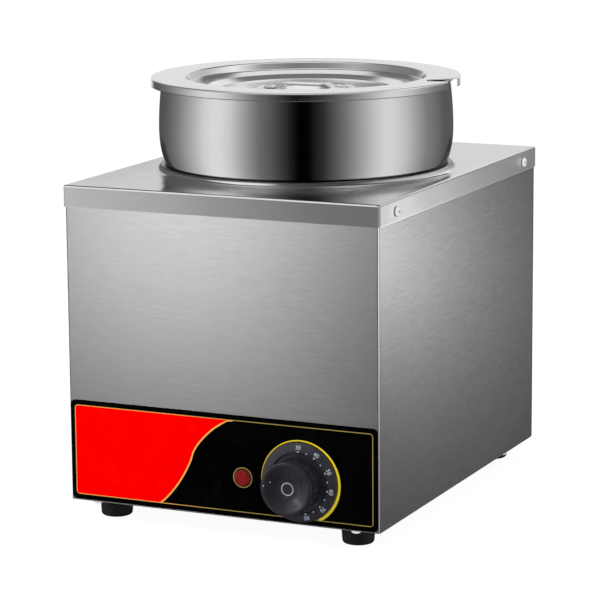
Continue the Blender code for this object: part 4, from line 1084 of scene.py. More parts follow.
class Workshop:
    """Keeps the finishes and the recipes, and puts finished pieces on the object."""

    def __init__(self) -> None:
        """Make what every sub-assembly uses."""
        self.finishes = Finishes()
        self.spinner = SpunRecipe()
        self.fasteners = FastenerRecipe()
        self.arcs = ArcRecipe()
        self.prisms = PrismRecipe()
        self.dressed: set[str] = set()
        self.pieces: dict[str, Object] = {}

    def spun(
        self, profile: list[Point], finish: Material, steps: int, ring: bool = False
    ) -> Mesh:
        """Turn a profile about Z.

        Args:
            profile: Points (radius, height); a ring's last point is joined to its first.
            finish: The body's material.
            steps: Steps round the axis.
            ring: True where the profile is a closed loop off the axis.

        Returns:
            The body's mesh, closed and facing outwards.
        """
        chain = list(profile) + ([profile[0]] if ring else [])
        base = points_mesh([(radius, 0.0, height) for radius, height in chain])
        return tidy(self.spinner.run(base, finish, Steps=steps))

    def put(
        self, name: str, mesh: Mesh, body: str, slot: str,
        stands_for: tuple[str, ...] = (), place: Matrix | None = None, sharp: float = 35.0,
    ) -> Object:
        """Put a finished mesh on the object.

        Args:
            name: The piece's name.
            mesh: Its mesh, with its material.
            body: The CAD body that it rides on.
            slot: The record's slot; it is not used.
            stands_for: The CAD nodes that it replaces.
            place: A move that is applied to the mesh.
            sharp: The angle in degrees past which an edge stays sharp.

        Returns:
            The piece.
        """
        mesh.name = name
        if place is not None:
            mesh.transform(place)
        mesh.shade_smooth()
        mesh.set_sharp_from_angle(angle=radians(sharp))
        piece = hung(name, mesh)
        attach(piece, body)
        if stands_for:
            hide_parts(*stands_for)
            self.dressed.update(stands_for)
        self.pieces[name] = piece
        log.info("%s rides on %s, %d faces", name, body, len(mesh.polygons))
        return piece


def tidy(mesh: Mesh) -> Mesh:
    """Merge a mesh's doubles and turn its faces outwards.

    Args:
        mesh: The mesh, which is changed.

    Returns:
        The same mesh.
    """
    bm = bmesh.new()
    bm.from_mesh(mesh)
    bmesh.ops.remove_doubles(bm, verts=bm.verts, dist=DOUBLES)
    bmesh.ops.dissolve_degenerate(bm, edges=bm.edges, dist=DOUBLES)
    bmesh.ops.recalc_face_normals(bm, faces=bm.faces)
    bm.to_mesh(mesh)
    bm.free()
    return mesh


def plate(
    outline: list[Point], low: float, high: float, finish: Material,
    holes: tuple[list[Point], ...] = (), bevel: float = 0.0,
) -> Mesh:
    """Extrude an outline with holes from low to high along Z.

    Args:
        outline: The outer edge, anticlockwise.
        low: Level of the lower face.
        high: Level of the upper face.
        finish: The plate's material.
        holes: The inner edges.
        bevel: Width of a chamfer round the upper edges.

    Returns:
        The closed plate.
    """
    bm = bmesh.new()
    loops = []
    for loop in (outline, *holes):
        verts = [bm.verts.new((x, y, low)) for x, y in loop]
        loops.append([bm.edges.new(pair) for pair in zip(verts, verts[1:] + verts[:1])])
    edges = [edge for loop in loops for edge in loop]
    bmesh.ops.triangle_fill(bm, use_beauty=True, use_dissolve=False, edges=edges, normal=(0, 0, 1))
    made = bmesh.ops.extrude_face_region(bm, geom=list(bm.faces))
    risen = [item for item in made["geom"] if isinstance(item, BMVert)]
    bmesh.ops.translate(bm, verts=risen, vec=(0, 0, high - low))
    bmesh.ops.recalc_face_normals(bm, faces=bm.faces)
    if bevel:
        rim = [
            edge for edge in bm.edges
            if all(abs(vert.co.z - high) < 1e-7 for vert in edge.verts)
            and edge.calc_face_angle(0.0) > 1.0
        ]
        bmesh.ops.bevel(bm, geom=rim, offset=bevel, segments=2, profile=0.5, affect="EDGES")
    return poured(bm, "plate", finish)


def circle(radius: float, steps: int, x: float = 0.0, y: float = 0.0) -> list[Point]:
    """List the points of a circle."""
    turns = [tau * step / steps for step in range(steps)]
    return [(x + radius * cos(turn), y + radius * sin(turn)) for turn in turns]


def rounded_box(box: Box, corner: float, steps: int = 6) -> list[Point]:
    """List the points of a rectangle with round corners, anticlockwise.

    Args:
        box: Its left, right, lower and upper side.
        corner: The corners' radius.
        steps: Steps of each corner.

    Returns:
        The points, from the middle of the right side on.
    """
    left, right, low, high = box
    middle = (right, (low + high) / 2, 0)
    return rounded([
        middle, (right, high, corner), (left, high, corner), (left, low, corner),
        (right, low, corner), middle,
    ], steps)[:-1]


def cut_away(mesh: Mesh, cutter: Mesh) -> Mesh:
    """Cut one closed mesh out of another with an exact Boolean.

    Args:
        mesh: The mesh that is cut.
        cutter: What is taken away.

    Returns:
        The cut mesh.
    """
    body, tool = hung("cut_body", mesh), hung("cut_tool", cutter)
    modifier = body.modifiers.new("cut", "BOOLEAN")
    modifier.operation = "DIFFERENCE"
    modifier.solver = "EXACT"
    modifier.object = tool
    made = settled(body)
    bpy.data.objects.remove(tool, do_unlink=True)
    return made


def fused(meshes: list[Mesh]) -> Mesh:
    """Put several meshes of one material in one.

    Args:
        meshes: The meshes.

    Returns:
        The one mesh.
    """
    first = meshes[0]
    finish = first.materials[first.polygons[0].material_index]
    bm = bmesh.new()
    for mesh in meshes:
        bm.from_mesh(mesh)
    for face in bm.faces:
        face.material_index = 0
    return poured(bm, "fused", finish)


@dataclass
class Assembly:
    """A sub-assembly, with the workshop that makes its pieces."""

    shop: Workshop

    def pick(self, *names: str) -> tuple[Object, ...]:
        """Give pieces that are made, by name."""
        return tuple(self.shop.pieces[name] for name in names)


@dataclass
class Deck(Assembly):
    """Folded deck pan: top sheet, skirt, and the collar pressed up round the pot's hole."""

    skirt: float = 0.016
    sheet: float = 0.0007
    fold: float = 0.0014
    corner: float = 0.0019
    support: float = 0.0004
    least_corner: float = 0.00005
    collar_height: float = 0.0037
    collar_foot: float = 0.1150
    collar_crown: float = 0.1085
    collar_lip: float = 0.103
    collar_rise: Chain = (
        (0.38, 0.09), (0.60, 0.36), (0.72, 0.72), (0.85, 0.92), (1, 1),
    )
    collar_fall: Chain = ((0.38, 0.14), (0.72, 0.52), (1, 1))
    foot_flat: float = 0.0006
    lip_past: float = 0.0003
    steps: int = 192

    def loop(self, inset: float, level: float) -> list[Place]:
        """Give one level loop of the pan.

        Args:
            inset: How far it is moved in from the pan's outside.
            level: Its height.

        Returns:
            Its points.
        """
        half_x, half_y = self.half_x - inset, self.half_y - inset
        corner = max(self.corner - inset, self.least_corner)
        points = []
        for sx, sy, start in ((1, -1, -90), (1, 1, 0), (-1, 1, 90), (-1, -1, 180)):
            for step in range(5):
                angle = radians(start + 22.5 * step)
                points.append((
                    self.middle.x + sx * (half_x - corner) + corner * cos(angle),
                    self.middle.y + sy * (half_y - corner) + corner * sin(angle), level,
                ))
        return points

    def rings(self, profile: list[Point]) -> list[list[Place]]:
        """Give the level rings of a profile round the pot's axis."""
        rings = [(level, circle(radius, self.steps)) for radius, level in profile]
        return [[(self.axis.x + x, self.axis.y + y, level) for x, y in ring] for level, ring in rings]

    def collar(self) -> list[Point]:
        """Give the collar's profile from its foot over its crown to its lip.

        Returns:
            The profile's points.
        """
        rise = self.collar_foot - self.collar_crown
        fall = self.collar_crown - self.collar_lip
        crown = self.top + self.collar_height
        drop = self.collar_height + self.lip_past
        chain = [(self.collar_foot + self.foot_flat, self.top), (self.collar_foot, self.top)]
        for run, up in self.collar_rise:
            chain.append((self.collar_foot - rise * run, self.top + self.collar_height * up))
        for run, down in self.collar_fall:
            chain.append((self.collar_crown - fall * run, crown - drop * down))
        return smooth_chain(chain, 3)

    def pan(self, inset: float) -> list[list[Place]]:
        """Give the loops of the pan's outer or inner side, from its foot to its top.

        Args:
            inset: 0 for the outer side, the sheet's thickness for the inner one.

        Returns:
            The loops.
        """
        fold, top = self.fold - inset, self.top
        lines = [(inset, top - self.skirt), (inset, top - self.fold - self.support)]
        for step in range(5):
            angle = pi / 2 * step / 4
            lines.append((
                inset + fold * (1 - cos(angle)), top - self.fold + fold * sin(angle)
            ))
        lines.append((self.fold + self.support, top - inset))
        return [self.loop(inward, level) for inward, level in lines]

    def build(self) -> None:
        """Make the deck and put it on the cabinet."""
        low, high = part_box("top_deck")
        self.middle, self.axis = middle_of("top_deck"), middle_of("soup_pot")
        self.half_x, self.half_y = (high.x - low.x) / 2, (high.y - low.y) / 2
        self.top = high.z - self.collar_height
        profile = self.collar()
        under = walled(profile, self.sheet)[len(profile):][::-1]
        bm = bmesh.new()
        outer, crown = lofted(bm, self.pan(0.0)), lofted(bm, self.rings(profile))
        inner, below = lofted(bm, self.pan(self.sheet)), lofted(bm, self.rings(under))
        for first, second in ((outer, crown), (inner, below)):
            rims = []
            for loop in (first[-1], second[0]):
                rims += [bm.edges.get(pair) for pair in zip(loop, loop[1:] + loop[:1])]
            bmesh.ops.triangle_fill(
                bm, use_beauty=True, use_dissolve=False, edges=rims, normal=(0, 0, 1)
            )
        skin(bm, [outer[0], inner[0]])
        skin(bm, [crown[-1], below[-1]])
        bmesh.ops.recalc_face_normals(bm, faces=bm.faces)
        mesh = poured(bm, "deck", self.shop.finishes.deck)
        self.shop.put("deck_pan", mesh, "cabinet", "casing_steel", ("top_deck",), sharp=40)


@dataclass
class Casing(Assembly):
    """Outer shell: one sheet folded round the front and both sides, with flanges inside."""

    sheet: float = 0.0007
    fold: float = 0.0016
    flange: float = 0.009
    rear_return: float = 0.014
    relief: float = 0.012
    steps: int = 8

    def build(self) -> None:
        """Make the shell and put it on the cabinet."""
        low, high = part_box("outer_shell")
        half, front, back = (high.x - low.x) / 2, low.y, high.y
        outer = rounded([
            (half - self.rear_return, back, 0), (half, back, self.fold), (half, front, self.fold),
            (-half, front, self.fold), (-half, back, self.fold),
            (-half + self.rear_return, back, 0),
        ], self.steps)
        ring = walled(outer, -self.sheet)
        area = sum(a[0] * b[1] - b[0] * a[1] for a, b in zip(ring, ring[1:] + ring[:1]))
        if area < 0:
            ring = ring[::-1]
        steel = self.shop.finishes.casing
        wall = plate(ring, low.z, high.z, steel)
        outer_x, inner_x = half - self.fold / 2, half - self.flange
        outer_y, inner_y, rear = front + self.fold / 2, front + self.flange, back - self.relief
        strip = [
            (outer_x, rear), (outer_x, outer_y), (-outer_x, outer_y), (-outer_x, rear),
            (-inner_x, rear), (-inner_x, inner_y), (inner_x, inner_y), (inner_x, rear),
        ]
        flange = plate(strip[::-1], low.z, low.z + self.sheet, steel)
        wrap = fused([wall, flange])
        self.shop.put("casing_wrap", wrap, "cabinet", "casing_steel", ("outer_shell",), sharp=30)


@dataclass
class Vessel(Assembly):
    """The soup pot and, below it, the water tank with its element."""

    pot_wall: float = 0.0008
    neck: float = 0.100
    neck_fillet: float = 0.0024
    base: float = 0.097
    base_corner: float = 0.014
    depth: float = 0.140
    bulge: float = 0.0085
    belly_foot: float = 0.0016
    belly_height: float = 0.0284
    taper: float = 0.0026
    roll: float = 0.0010
    steps: int = 224
    tank_radius: float = 0.106
    tank_depth: float = 0.174
    tank_wall: float = 0.0008
    tank_corner: float = 0.010
    tank_bend: float = 0.003
    tank_steps: int = 128

    def pot_profile(self, rim: float) -> list[Point]:
        """Give the pot's outer line from its middle to its rolled rim.

        Args:
            rim: Height of the rim over the deck's top.

        Returns:
            The line's points, with heights from the deck's top.
        """
        chain = rounded([
            (0, -self.depth, 0), (self.base, -self.depth, self.base_corner),
            (self.neck, -self.neck_fillet, 0),
        ], 10)
        shoulder = self.neck + self.neck_fillet
        for step in range(1, 6):
            angle = pi / 2 * step / 5
            chain.append((
                shoulder - self.neck_fillet * cos(angle), self.neck_fillet * (sin(angle) - 1)
            ))
        for step in range(1, 25):
            angle = pi / 2 * step / 24
            chain.append((
                shoulder + self.bulge * sin(angle),
                self.belly_foot + self.belly_height * (1 - cos(angle))
            ))
        belly = shoulder + self.bulge
        widest = self.belly_foot + self.belly_height
        level = rim - self.pot_wall - self.roll
        for step in range(1, 13):
            share = step / 12
            chain.append((belly - self.taper * share * share, widest + (level - widest) * share))
        centre = belly - self.taper + self.roll
        for degrees in range(165, -11, -15):
            angle = radians(degrees)
            chain.append((centre + self.roll * cos(angle), level + self.roll * sin(angle)))
        return chain

    def build(self) -> None:
        """Make the pot and the tank."""
        low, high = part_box("soup_pot")
        deck = low.z + self.depth
        axis = (low + high) / 2
        place = Matrix.Translation((axis.x, axis.y, deck))
        profile = walled(self.pot_profile(high.z - deck), self.pot_wall)
        pot = self.shop.spun(profile, self.shop.finishes.pot, self.steps)
        self.shop.put("pot_spun", pot, "pot", "pot_steel", ("soup_pot",), place)
        tank_low, tank_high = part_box("water_tank")
        flange = (tank_high.x - tank_low.x) / 2
        top = tank_high.z - deck
        chain = rounded([
            (0, -self.tank_depth, 0), (self.tank_radius, -self.tank_depth, self.tank_corner),
            (self.tank_radius, top, self.tank_bend), (flange, top, 0),
        ], 6)
        tank = self.shop.spun(walled(chain, -self.tank_wall), self.shop.finishes.tank, self.tank_steps)
        self.shop.put("tank_drawn", tank, "cabinet", "tank_steel", ("water_tank",), place)


@dataclass
class Cover(Assembly):
    """The pressed lid with its ladle notch and its strap handle."""

    wall: float = 0.0007
    flange: float = 0.0062
    edge: float = 0.0013
    recess: float = 0.091
    step_run: float = 0.0022
    step_drop: float = 0.0058
    shelf_run: float = 0.0145
    shelf_drop: float = 0.0018
    slope_run: float = 0.0080
    slope_drop: float = 0.0027
    fillet: float = 0.0014
    bead: float = 0.037
    bead_width: float = 0.0030
    bead_rise: float = 0.0007
    bead_bend: float = 0.0008
    dish: float = 0.024
    dish_run: float = 0.007
    dish_depth: float = 0.011
    dish_bend: float = 0.004
    recess_bend: float = 0.0016
    edge_land: float = 0.0004
    notch_corner: float = 0.0028
    notch_past: float = 0.004
    notch_shares: Chain = (
        (1.06, 0.262), (0.836, 0.014), (0.867, -0.063), (1.06, -0.018),
    )
    strap_length: float = 0.062
    strap_width: float = 0.022
    strap_thickness: float = 0.0012
    strap_rise: float = 0.0030
    strap_foot: float = 0.009
    strap_ramp: float = 0.006
    strap_bend: float = 0.004
    strap_end: float = 0.003
    strap_edge: float = 0.0002
    weld_x: float = 0.0262
    weld_y: float = 0.0078
    weld: Chain = (
        (0.0, 0.00018), (0.0008, 0.00016), (0.0015, 0.00006), (0.0019, -0.0002), (0.0, -0.0002),
    )
    gap: float = 0.0003
    steps: int = 224

    def profile(self, radius: float) -> list[Point]:
        """Give the lid's upper line from its middle to the flange's edge.

        Args:
            radius: The lid's radius.

        Returns:
            The line's points, with heights from the lid's top.
        """
        floor = -(self.step_drop + self.shelf_drop + self.slope_drop)
        shelf_outer = self.recess - self.step_run
        shelf_inner = shelf_outer - self.shelf_run
        return rounded([
            (0, floor - self.dish_depth, 0),
            (self.dish - self.dish_run, floor - self.dish_depth, self.dish_bend),
            (self.dish, floor, self.fillet),
            (self.bead - self.bead_width / 2, floor, self.bead_bend),
            (self.bead, floor + self.bead_rise, self.bead_bend),
            (self.bead + self.bead_width / 2, floor, self.bead_bend),
            (shelf_inner - self.slope_run, floor, self.fillet),
            (shelf_inner, floor + self.slope_drop, self.fillet),
            (shelf_outer, -self.step_drop, self.fillet),
            (self.recess, 0, self.recess_bend),
            (radius, 0, self.edge),
            (radius, -self.edge - self.edge_land, 0),
            (radius, -self.flange, 0),
        ], 6)

    def strap(self) -> Mesh:
        """Bend the strap handle from a flat bar with rounded ends.

        Returns:
            The strap's mesh, with its feet at level 0.
        """
        half, bend, end = self.strap_length / 2, self.strap_bend, self.strap_end
        ramp_foot = half - self.strap_foot
        ramp_top = ramp_foot - self.strap_ramp
        side = rounded([
            (-half, 0, 0), (-ramp_foot, 0, bend), (-ramp_top, self.strap_rise, bend),
            (0, self.strap_rise, 0), (ramp_top, self.strap_rise, bend), (ramp_foot, 0, bend),
            (half, 0, 0),
        ], 6)
        tips = [-half + end * (1 - cos(pi / 2 * step / 6)) for step in range(7)]
        stations = tips + [x for x, _ in side if -half + end < x < half - end]
        loops = []
        for x in stations + [-x for x in reversed(tips)]:
            level = self._level(side, x)
            past = max(0.0, abs(x) - (half - end)) / end
            width = self.strap_width / 2 - end * (1 - sqrt(max(0.0, 1 - past * past)))
            under = level - self.strap_thickness
            loops.append([
                (x, -width, level), (x, width, level), (x, width, under), (x, -width, under),
            ])
        bm = bmesh.new()
        rows = lofted(bm, loops)
        bm.faces.new(rows[0])
        bm.faces.new(rows[-1][::-1])
        bmesh.ops.recalc_face_normals(bm, faces=bm.faces)
        rim = [edge for edge in bm.edges if edge.calc_face_angle(0.0) > 1.2]
        bmesh.ops.bevel(
            bm, geom=rim, offset=self.strap_edge, segments=2, profile=0.5, affect="EDGES"
        )
        return poured(bm, "strap", self.shop.finishes.strap)

    @staticmethod
    def _level(chain: list[Point], x: float) -> float:
        """Read the height of a chain at a place along it.

        Args:
            chain: The chain, from the least x to the greatest.
            x: The place.

        Returns:
            The height there.
        """
        for (x0, z0), (x1, z1) in zip(chain, chain[1:]):
            if x0 <= x <= x1 and x1 > x0:
                return z0 + (z1 - z0) * (x - x0) / (x1 - x0)
        return chain[-1][1]

    def build(self) -> None:
        """Make the lid, its strap and the weld marks on it."""
        low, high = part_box("lid")
        radius = -low.x
        centre = middle_of("soup_pot")
        place = Matrix.Translation((centre.x, centre.y, high.z))
        steel, satin = self.shop.finishes.lid, self.shop.finishes.strap
        lid = self.shop.spun(walled(self.profile(radius), -self.wall), steel, self.steps)
        turn = self.notch_corner / radius
        chain = [(x, y, bend) for (x, y), bend in zip(self.notch_shares, (0, turn, turn, 0))]
        outline = [(x * radius, y * radius) for x, y in rounded(chain, 8)]
        tool = plate(outline[::-1], -self.flange - self.notch_past, self.notch_past, steel)
        lid = cut_away(lid, tidy(tool))
        self.shop.put("lid_pressed", lid, "lid", "lid_steel", ("lid",), place)
        floor = -(self.step_drop + self.shelf_drop + self.slope_drop)
        seat = Matrix.Translation((0, 0, floor + self.gap + self.strap_thickness))
        welds = []
        for x in (-self.weld_x, self.weld_x):
            for y in (-self.weld_y, self.weld_y):
                dot = self.shop.spun(list(self.weld), satin, 20)
                dot.transform(Matrix.Translation((x, y, 0)))
                welds.append(dot)
        strap = self.strap()
        self.shop.put("lid_strap", strap, "lid", "lid_steel", ("lid_handle",), place @ seat)
        self.shop.put("strap_welds", fused(welds), "lid", "lid_steel", (), place @ seat)


@dataclass
class ControlPanel(Assembly):
    """Printed label with its lamp, its dial ring and its knob."""

    ink: float = 0.00004
    film_corner: float = 0.004
    film_chamfer: float = 0.00012
    lamp_hole: float = 0.0056
    shaft_hole: float = 0.018
    frame_inset: float = 0.0036
    frame_width: float = 0.0006
    frame_corner: float = 0.0026
    frame_inner_corner: float = 0.0015
    wave_width: float = 0.0012
    wave_taper: int = 12
    wave_steps: int = 6
    red_right: float = -0.05
    lens_radius: float = 0.0065
    lens_back: float = 0.0003
    lens_plug: float = 0.004
    lens_ring: float = 0.0076
    lens_ring_inner: float = 0.0069
    dial_radius: float = 0.0292
    dial_inner: float = 0.0222
    dial_bore: float = 0.005
    dial_rim: float = 0.0020
    dial_step: float = 0.0032
    dial_floor: float = 0.0012
    dial_bend: float = 0.0006
    dial_screw: float = 0.014
    dial_screw_hole: float = 0.0023
    figures: tuple[str, ...] = ("30", "40", "50", "60", "70", "80")
    figure_reach: float = 0.0258
    figure_height: float = 0.0043
    figure_turn: float = 33.2
    dot_reach: float = 0.0008
    dot_rise: float = 0.0001
    dot_root: float = 0.0002
    dots: Chain = ((0.00066, 90.0), (0.00054, 90.0 - 16.6))
    knob_radius: float = 0.0200
    knob_waist: float = 0.0188
    knob_length: float = 0.0199
    knob_reach: float = 0.0200
    knob_edge: float = 0.0018
    knob_bore: float = 0.0034
    knob_bore_depth: float = 0.0143
    dish_radius: float = 0.0165
    dish_depth: float = 0.0034
    mark_radius: float = 0.0044
    mark_half: float = 0.0003
    marks: Chain = ((85.0, 0.0173), (71.0, 0.0134))
    mark_size: float = 0.0005
    crescent_radius: float = 0.0303
    crescent_shift: float = 0.0004
    crescent_start: float = 265.0
    crescent_turn: float = 350.0
    crescent_steps: int = 96
    deck_level: float = 0.2495
    wave: Chain = (
        (0.0097, -0.1613), (0.0086, -0.1617), (-0.0048, -0.1694), (-0.0152, -0.1789),
        (-0.0221, -0.1881), (-0.0253, -0.1969), (-0.0312, -0.2080), (-0.0376, -0.2173),
        (-0.0451, -0.2258), (-0.0520, -0.2318),
    )

    def build(self) -> None:
        """Make the label, its print, the lamp, the dial and the knob."""
        self.low, self.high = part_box("front_label")
        dial, lens = middle_of("dial_ring"), middle_of("pilot_lens")
        self.knob_x, self.knob_z = dial.x, dial.z
        self.lamp_x, self.lamp_z = lens.x, lens.z
        self.label()
        self.lamp()
        self.dial()
        self.knob()

    def on_face(self) -> Matrix:
        """Give the move that lays a flat piece (x, y up, z outwards) on the label's face."""
        return Facing.FRONT.at(0.0, self.low.y, 0.0)

    def printed(
        self, name: str, mesh: Mesh, stands_for: tuple[str, ...] = ()
    ) -> None:
        """Put a piece of the print on the label's face."""
        self.shop.put(name, mesh, "cabinet", "label_print", stands_for, self.on_face())

    def label(self) -> None:
        """Make the black film and the inks on it."""
        inks = self.shop.finishes
        thick = self.high.y - self.low.y
        holes = (
            circle(self.lamp_hole, 32, self.lamp_x, self.lamp_z),
            circle(self.shaft_hole, 40, self.knob_x, self.knob_z),
        )
        sides = (self.low.x, self.high.x, self.low.z, self.high.z)
        outline = rounded_box(sides, self.film_corner, 8)
        film = plate(outline, -thick, 0.0, inks.label, holes, self.film_chamfer)
        self.printed("label_film", film, ("front_label",))
        outer, self.field = (
            tuple(side + inset * way for side, way in zip(sides, (1, -1, 1, -1)))
            for inset in (self.frame_inset, self.frame_inset + self.frame_width)
        )
        hole = rounded_box(self.field, self.frame_inner_corner, 6)
        frame_line = rounded_box(outer, self.frame_corner, 6)
        gold_frame = plate(frame_line, 0.0, self.ink, inks.pale_gold_ink, (hole,))
        wave = smooth_chain([(x, z + self.deck_level) for x, z in self.wave], self.wave_steps)
        wave = [(x, min(max(z, self.field[2]), self.field[3])) for x, z in wave]
        stripe = self._ribbon(wave, inks.gold_ink)
        self.printed("label_gold_frame", tidy(gold_frame))
        self.printed("label_gold_wave", tidy(stripe))
        left_side = [spot for spot in hole if spot[0] < self.red_right]
        red = plate(wave[::-1] + left_side, 0.0, self.ink, inks.red_ink)
        self.printed("label_red_field", tidy(red))
        self.crescent()

    def _ribbon(self, wave: list[Point], finish: Material) -> Mesh:
        """Make the line of ink that follows the wave on its right.

        Args:
            wave: The line's left edge from its top down.
            finish: The ink.

        Returns:
            The closed strip.
        """
        loops = []
        for index, (x, z) in enumerate(wave):
            before = wave[max(index - 1, 0)]
            after = wave[min(index + 1, len(wave) - 1)]
            run = Vector((after[0] - before[0], after[1] - before[1]))
            if run.length < 1e-7:
                continue
            run.normalize()
            here = self.wave_width * min(1.0, (index + 1) / self.wave_taper)
            far = (x - run.y * here, min(max(z + run.x * here, self.field[2]), self.field[3]))
            loops.append([(x, z, 0), (*far, 0), (*far, self.ink), (x, z, self.ink)])
        bm = bmesh.new()
        rows = lofted(bm, loops)
        bm.faces.new(rows[0])
        bm.faces.new(rows[-1][::-1])
        return poured(bm, "ribbon", finish)

    def crescent(self) -> None:
        """Print the ring that grows wider round the dial, down to the gold frame."""
        middle, foot = self.knob_x + self.crescent_shift, self.field[2]
        outer, inner = [], []
        for step in range(self.crescent_steps + 1):
            turn = self.crescent_turn * step / self.crescent_steps
            angle = radians(self.crescent_start - turn)
            half = (0.0008 + 0.0007 * (1 + cos(angle + pi / 4))) / 2
            far, near = (
                (middle + radius * cos(angle), max(self.knob_z + radius * sin(angle), foot))
                for radius in (self.crescent_radius + half, self.crescent_radius - half)
            )
            if near[1] > foot + 1e-6:
                outer.append(far)
                inner.append(near)
        ring = plate(inner + outer[::-1], 0.0, self.ink * 2, self.shop.finishes.yellow_ink)
        self.printed("label_yellow_crescent", tidy(ring))

    def lamp(self) -> None:
        """Make the prismatic lens and the gold ring printed round it."""
        back, plug, radius = self.lens_back, self.lens_plug, self.lens_radius
        body = self.shop.spun([
            (0, back - plug), (plug, back - plug), (plug, back), (radius, back),
            (radius, back + 0.0007), (radius - 0.0002, back + 0.0010),
            (radius - 0.0007, back + 0.0010), (radius * 0.5, back + 0.0012), (0, back + 0.0013),
        ], self.shop.finishes.lens, 48)
        prisms = self.shop.prisms.run(
            points_mesh([(0.0, 0.0, 0.0)]), self.shop.finishes.lens, Disc_Radius=radius - 0.0008,
            Pitch=RedGlow.pitch, Count=9, Rise=0.0008, Dome=0.0002,
        )
        prisms.transform(Matrix.Translation((0, 0, back + 0.0011)))
        whole = fused([body, prisms])
        place = Facing.FRONT.at(self.lamp_x, self.low.y, self.lamp_z)
        name = "pilot_lens_prismatic"
        self.shop.put(name, whole, "cabinet", "red_lens", ("pilot_lens",), place, sharp=20)
        hole = circle(self.lens_ring_inner, 64)
        gold = self.shop.finishes.pale_gold_ink
        ring = plate(circle(self.lens_ring, 64), 0.0, self.ink * 2, gold, (hole,))
        self.shop.put("pilot_gold_ring", ring, "cabinet", "label_print", (), place)

    def dial(self) -> None:
        """Make the fixed ring with its figures and its dots."""
        place = Facing.FRONT.at(self.knob_x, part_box("dial_ring")[1].y, self.knob_z)
        black, white = self.shop.finishes.dial, self.shop.finishes.white_ink
        ring = self.shop.spun(rounded([
            (self.dial_bore, 0, 0), (self.dial_radius, 0, 0),
            (self.dial_radius, self.dial_rim, self.dial_bend),
            (self.dial_inner, self.dial_step, self.dial_bend),
            (self.dial_inner, self.dial_floor, 0), (self.dial_bore, self.dial_floor, 0),
        ], 5), black, 128, ring=True)
        for x in (-self.dial_screw, self.dial_screw):
            hole = circle(self.dial_screw_hole, 24, x, 0.0)
            ring = cut_away(ring, tidy(plate(hole, -0.002, 0.006, black)))
        self.shop.put("dial_ring_turned", ring, "cabinet", "dark_plastic", ("dial_ring",), place)
        slope = (self.dial_step - self.dial_rim) / (self.dial_radius - self.dial_inner)
        tilt = Matrix.Rotation(-atan(slope), 4, "X")
        level = self.dial_rim + slope * (self.dial_radius - self.figure_reach)
        spot = Matrix.Translation((0, self.figure_reach, level)) @ tilt
        figures = []
        for index, text in enumerate(self.figures):
            mesh = figure_mesh(text, self.figure_height, white)
            turn = -radians(self.figure_turn * index)
            mesh.transform(Matrix.Rotation(turn, 4, "Z") @ spot)
            figures.append(mesh)
        self.shop.put("dial_figures", fused(figures), "cabinet", "dark_plastic", (), place)
        radius = self.dial_inner + self.dot_reach
        level = self.dial_rim + slope * (self.dial_radius - radius)
        rows = []
        for size, start in self.dots:
            dot = self.shop.spun([
                (0, self.dot_rise), (size, self.dot_rise), (size, -self.dot_root),
                (0, -self.dot_root),
            ], white, 16)
            rows.append(self.shop.arcs.run(
                dot, white, Count=len(self.figures), Radius=radius, Start=radians(start),
                Pitch=-radians(self.figure_turn),
            ))
        dots = fused(rows)
        dots.transform(Matrix.Translation((0, 0, level)))
        self.shop.put("dial_dots", dots, "cabinet", "dark_plastic", (), place)

    def knob(self) -> None:
        """Make the grip with its dished face, its index and its ring mark."""
        length, bore, reach = self.knob_length, self.knob_bore, self.dish_radius
        floor, white = length - self.dish_depth, self.shop.finishes.white_ink
        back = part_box("control_knob")[0].y + self.knob_reach
        place = Facing.FRONT.at(self.knob_x, back, self.knob_z)
        dish = smooth_chain([
            (reach, length), (reach * 0.78, length - self.dish_depth * 0.42),
            (reach * 0.52, length - self.dish_depth * 0.86), (reach * 0.25, floor), (0.0, floor),
        ], 6)
        chain = rounded([
            (bore, 0, 0), (self.knob_waist, 0, 0.0006), (self.knob_waist, length * 0.62, 0.004),
            (self.knob_radius, length * 0.84, 0.003), (self.knob_radius, length, self.knob_edge),
            (reach, length, 0),
        ], 6)
        profile = [(0.0, self.knob_bore_depth), (bore, self.knob_bore_depth)] + chain + dish[1:]
        grip = self.shop.spun(profile, self.shop.finishes.knob, 128)
        self.shop.put("knob_grip", grip, "knob", "dark_plastic", ("control_knob",), place)
        ring = self.shop.spun([
            (self.mark_radius + self.mark_half, floor + 0.00028), (self.mark_radius, floor + 0.0002),
            (self.mark_radius - self.mark_half, floor + 0.00028),
            (self.mark_radius, floor - 0.0002),
        ], white, 48, ring=True)
        self.shop.put("knob_ring_mark", ring, "knob", "dark_plastic", (), place)
        marks = []
        size = self.mark_size
        shape = rounded_box((-size * 0.7, size * 0.7, -size, size), size * 0.3, 3)
        for turn, out in self.marks:
            bar = plate(shape, -0.0004, 0.00008, white)
            spot = Matrix.Rotation(radians(turn), 4, "Z") @ Matrix.Translation((0, out, 0))
            level = length if out > reach else length - self.dish_depth * 0.36
            bar.transform(Matrix.Translation((0, 0, level)) @ spot)
            marks.append(bar)
        self.shop.put("knob_index", fused(marks), "knob", "dark_plastic", (), place)


def figure_mesh(text: str, height: float, finish: Material) -> Mesh:
    """Make the figures of the dial as a thin closed mesh, middle on the origin.

    Args:
        text: The figures.
        height: Their size.
        finish: Their ink.

    Returns:
        The mesh.
    """
    curve = bpy.data.curves.new("figure", "FONT")
    curve.body = text
    curve.size = height
    curve.align_x = "CENTER"
    curve.align_y = "CENTER"
    curve.extrude = 0.00006
    curve.offset = 0.00004
    curve.resolution_u = 4
    mesh = settled(hung("figure", curve))
    mesh.materials.clear()
    mesh.materials.append(finish)
    return tidy(mesh)


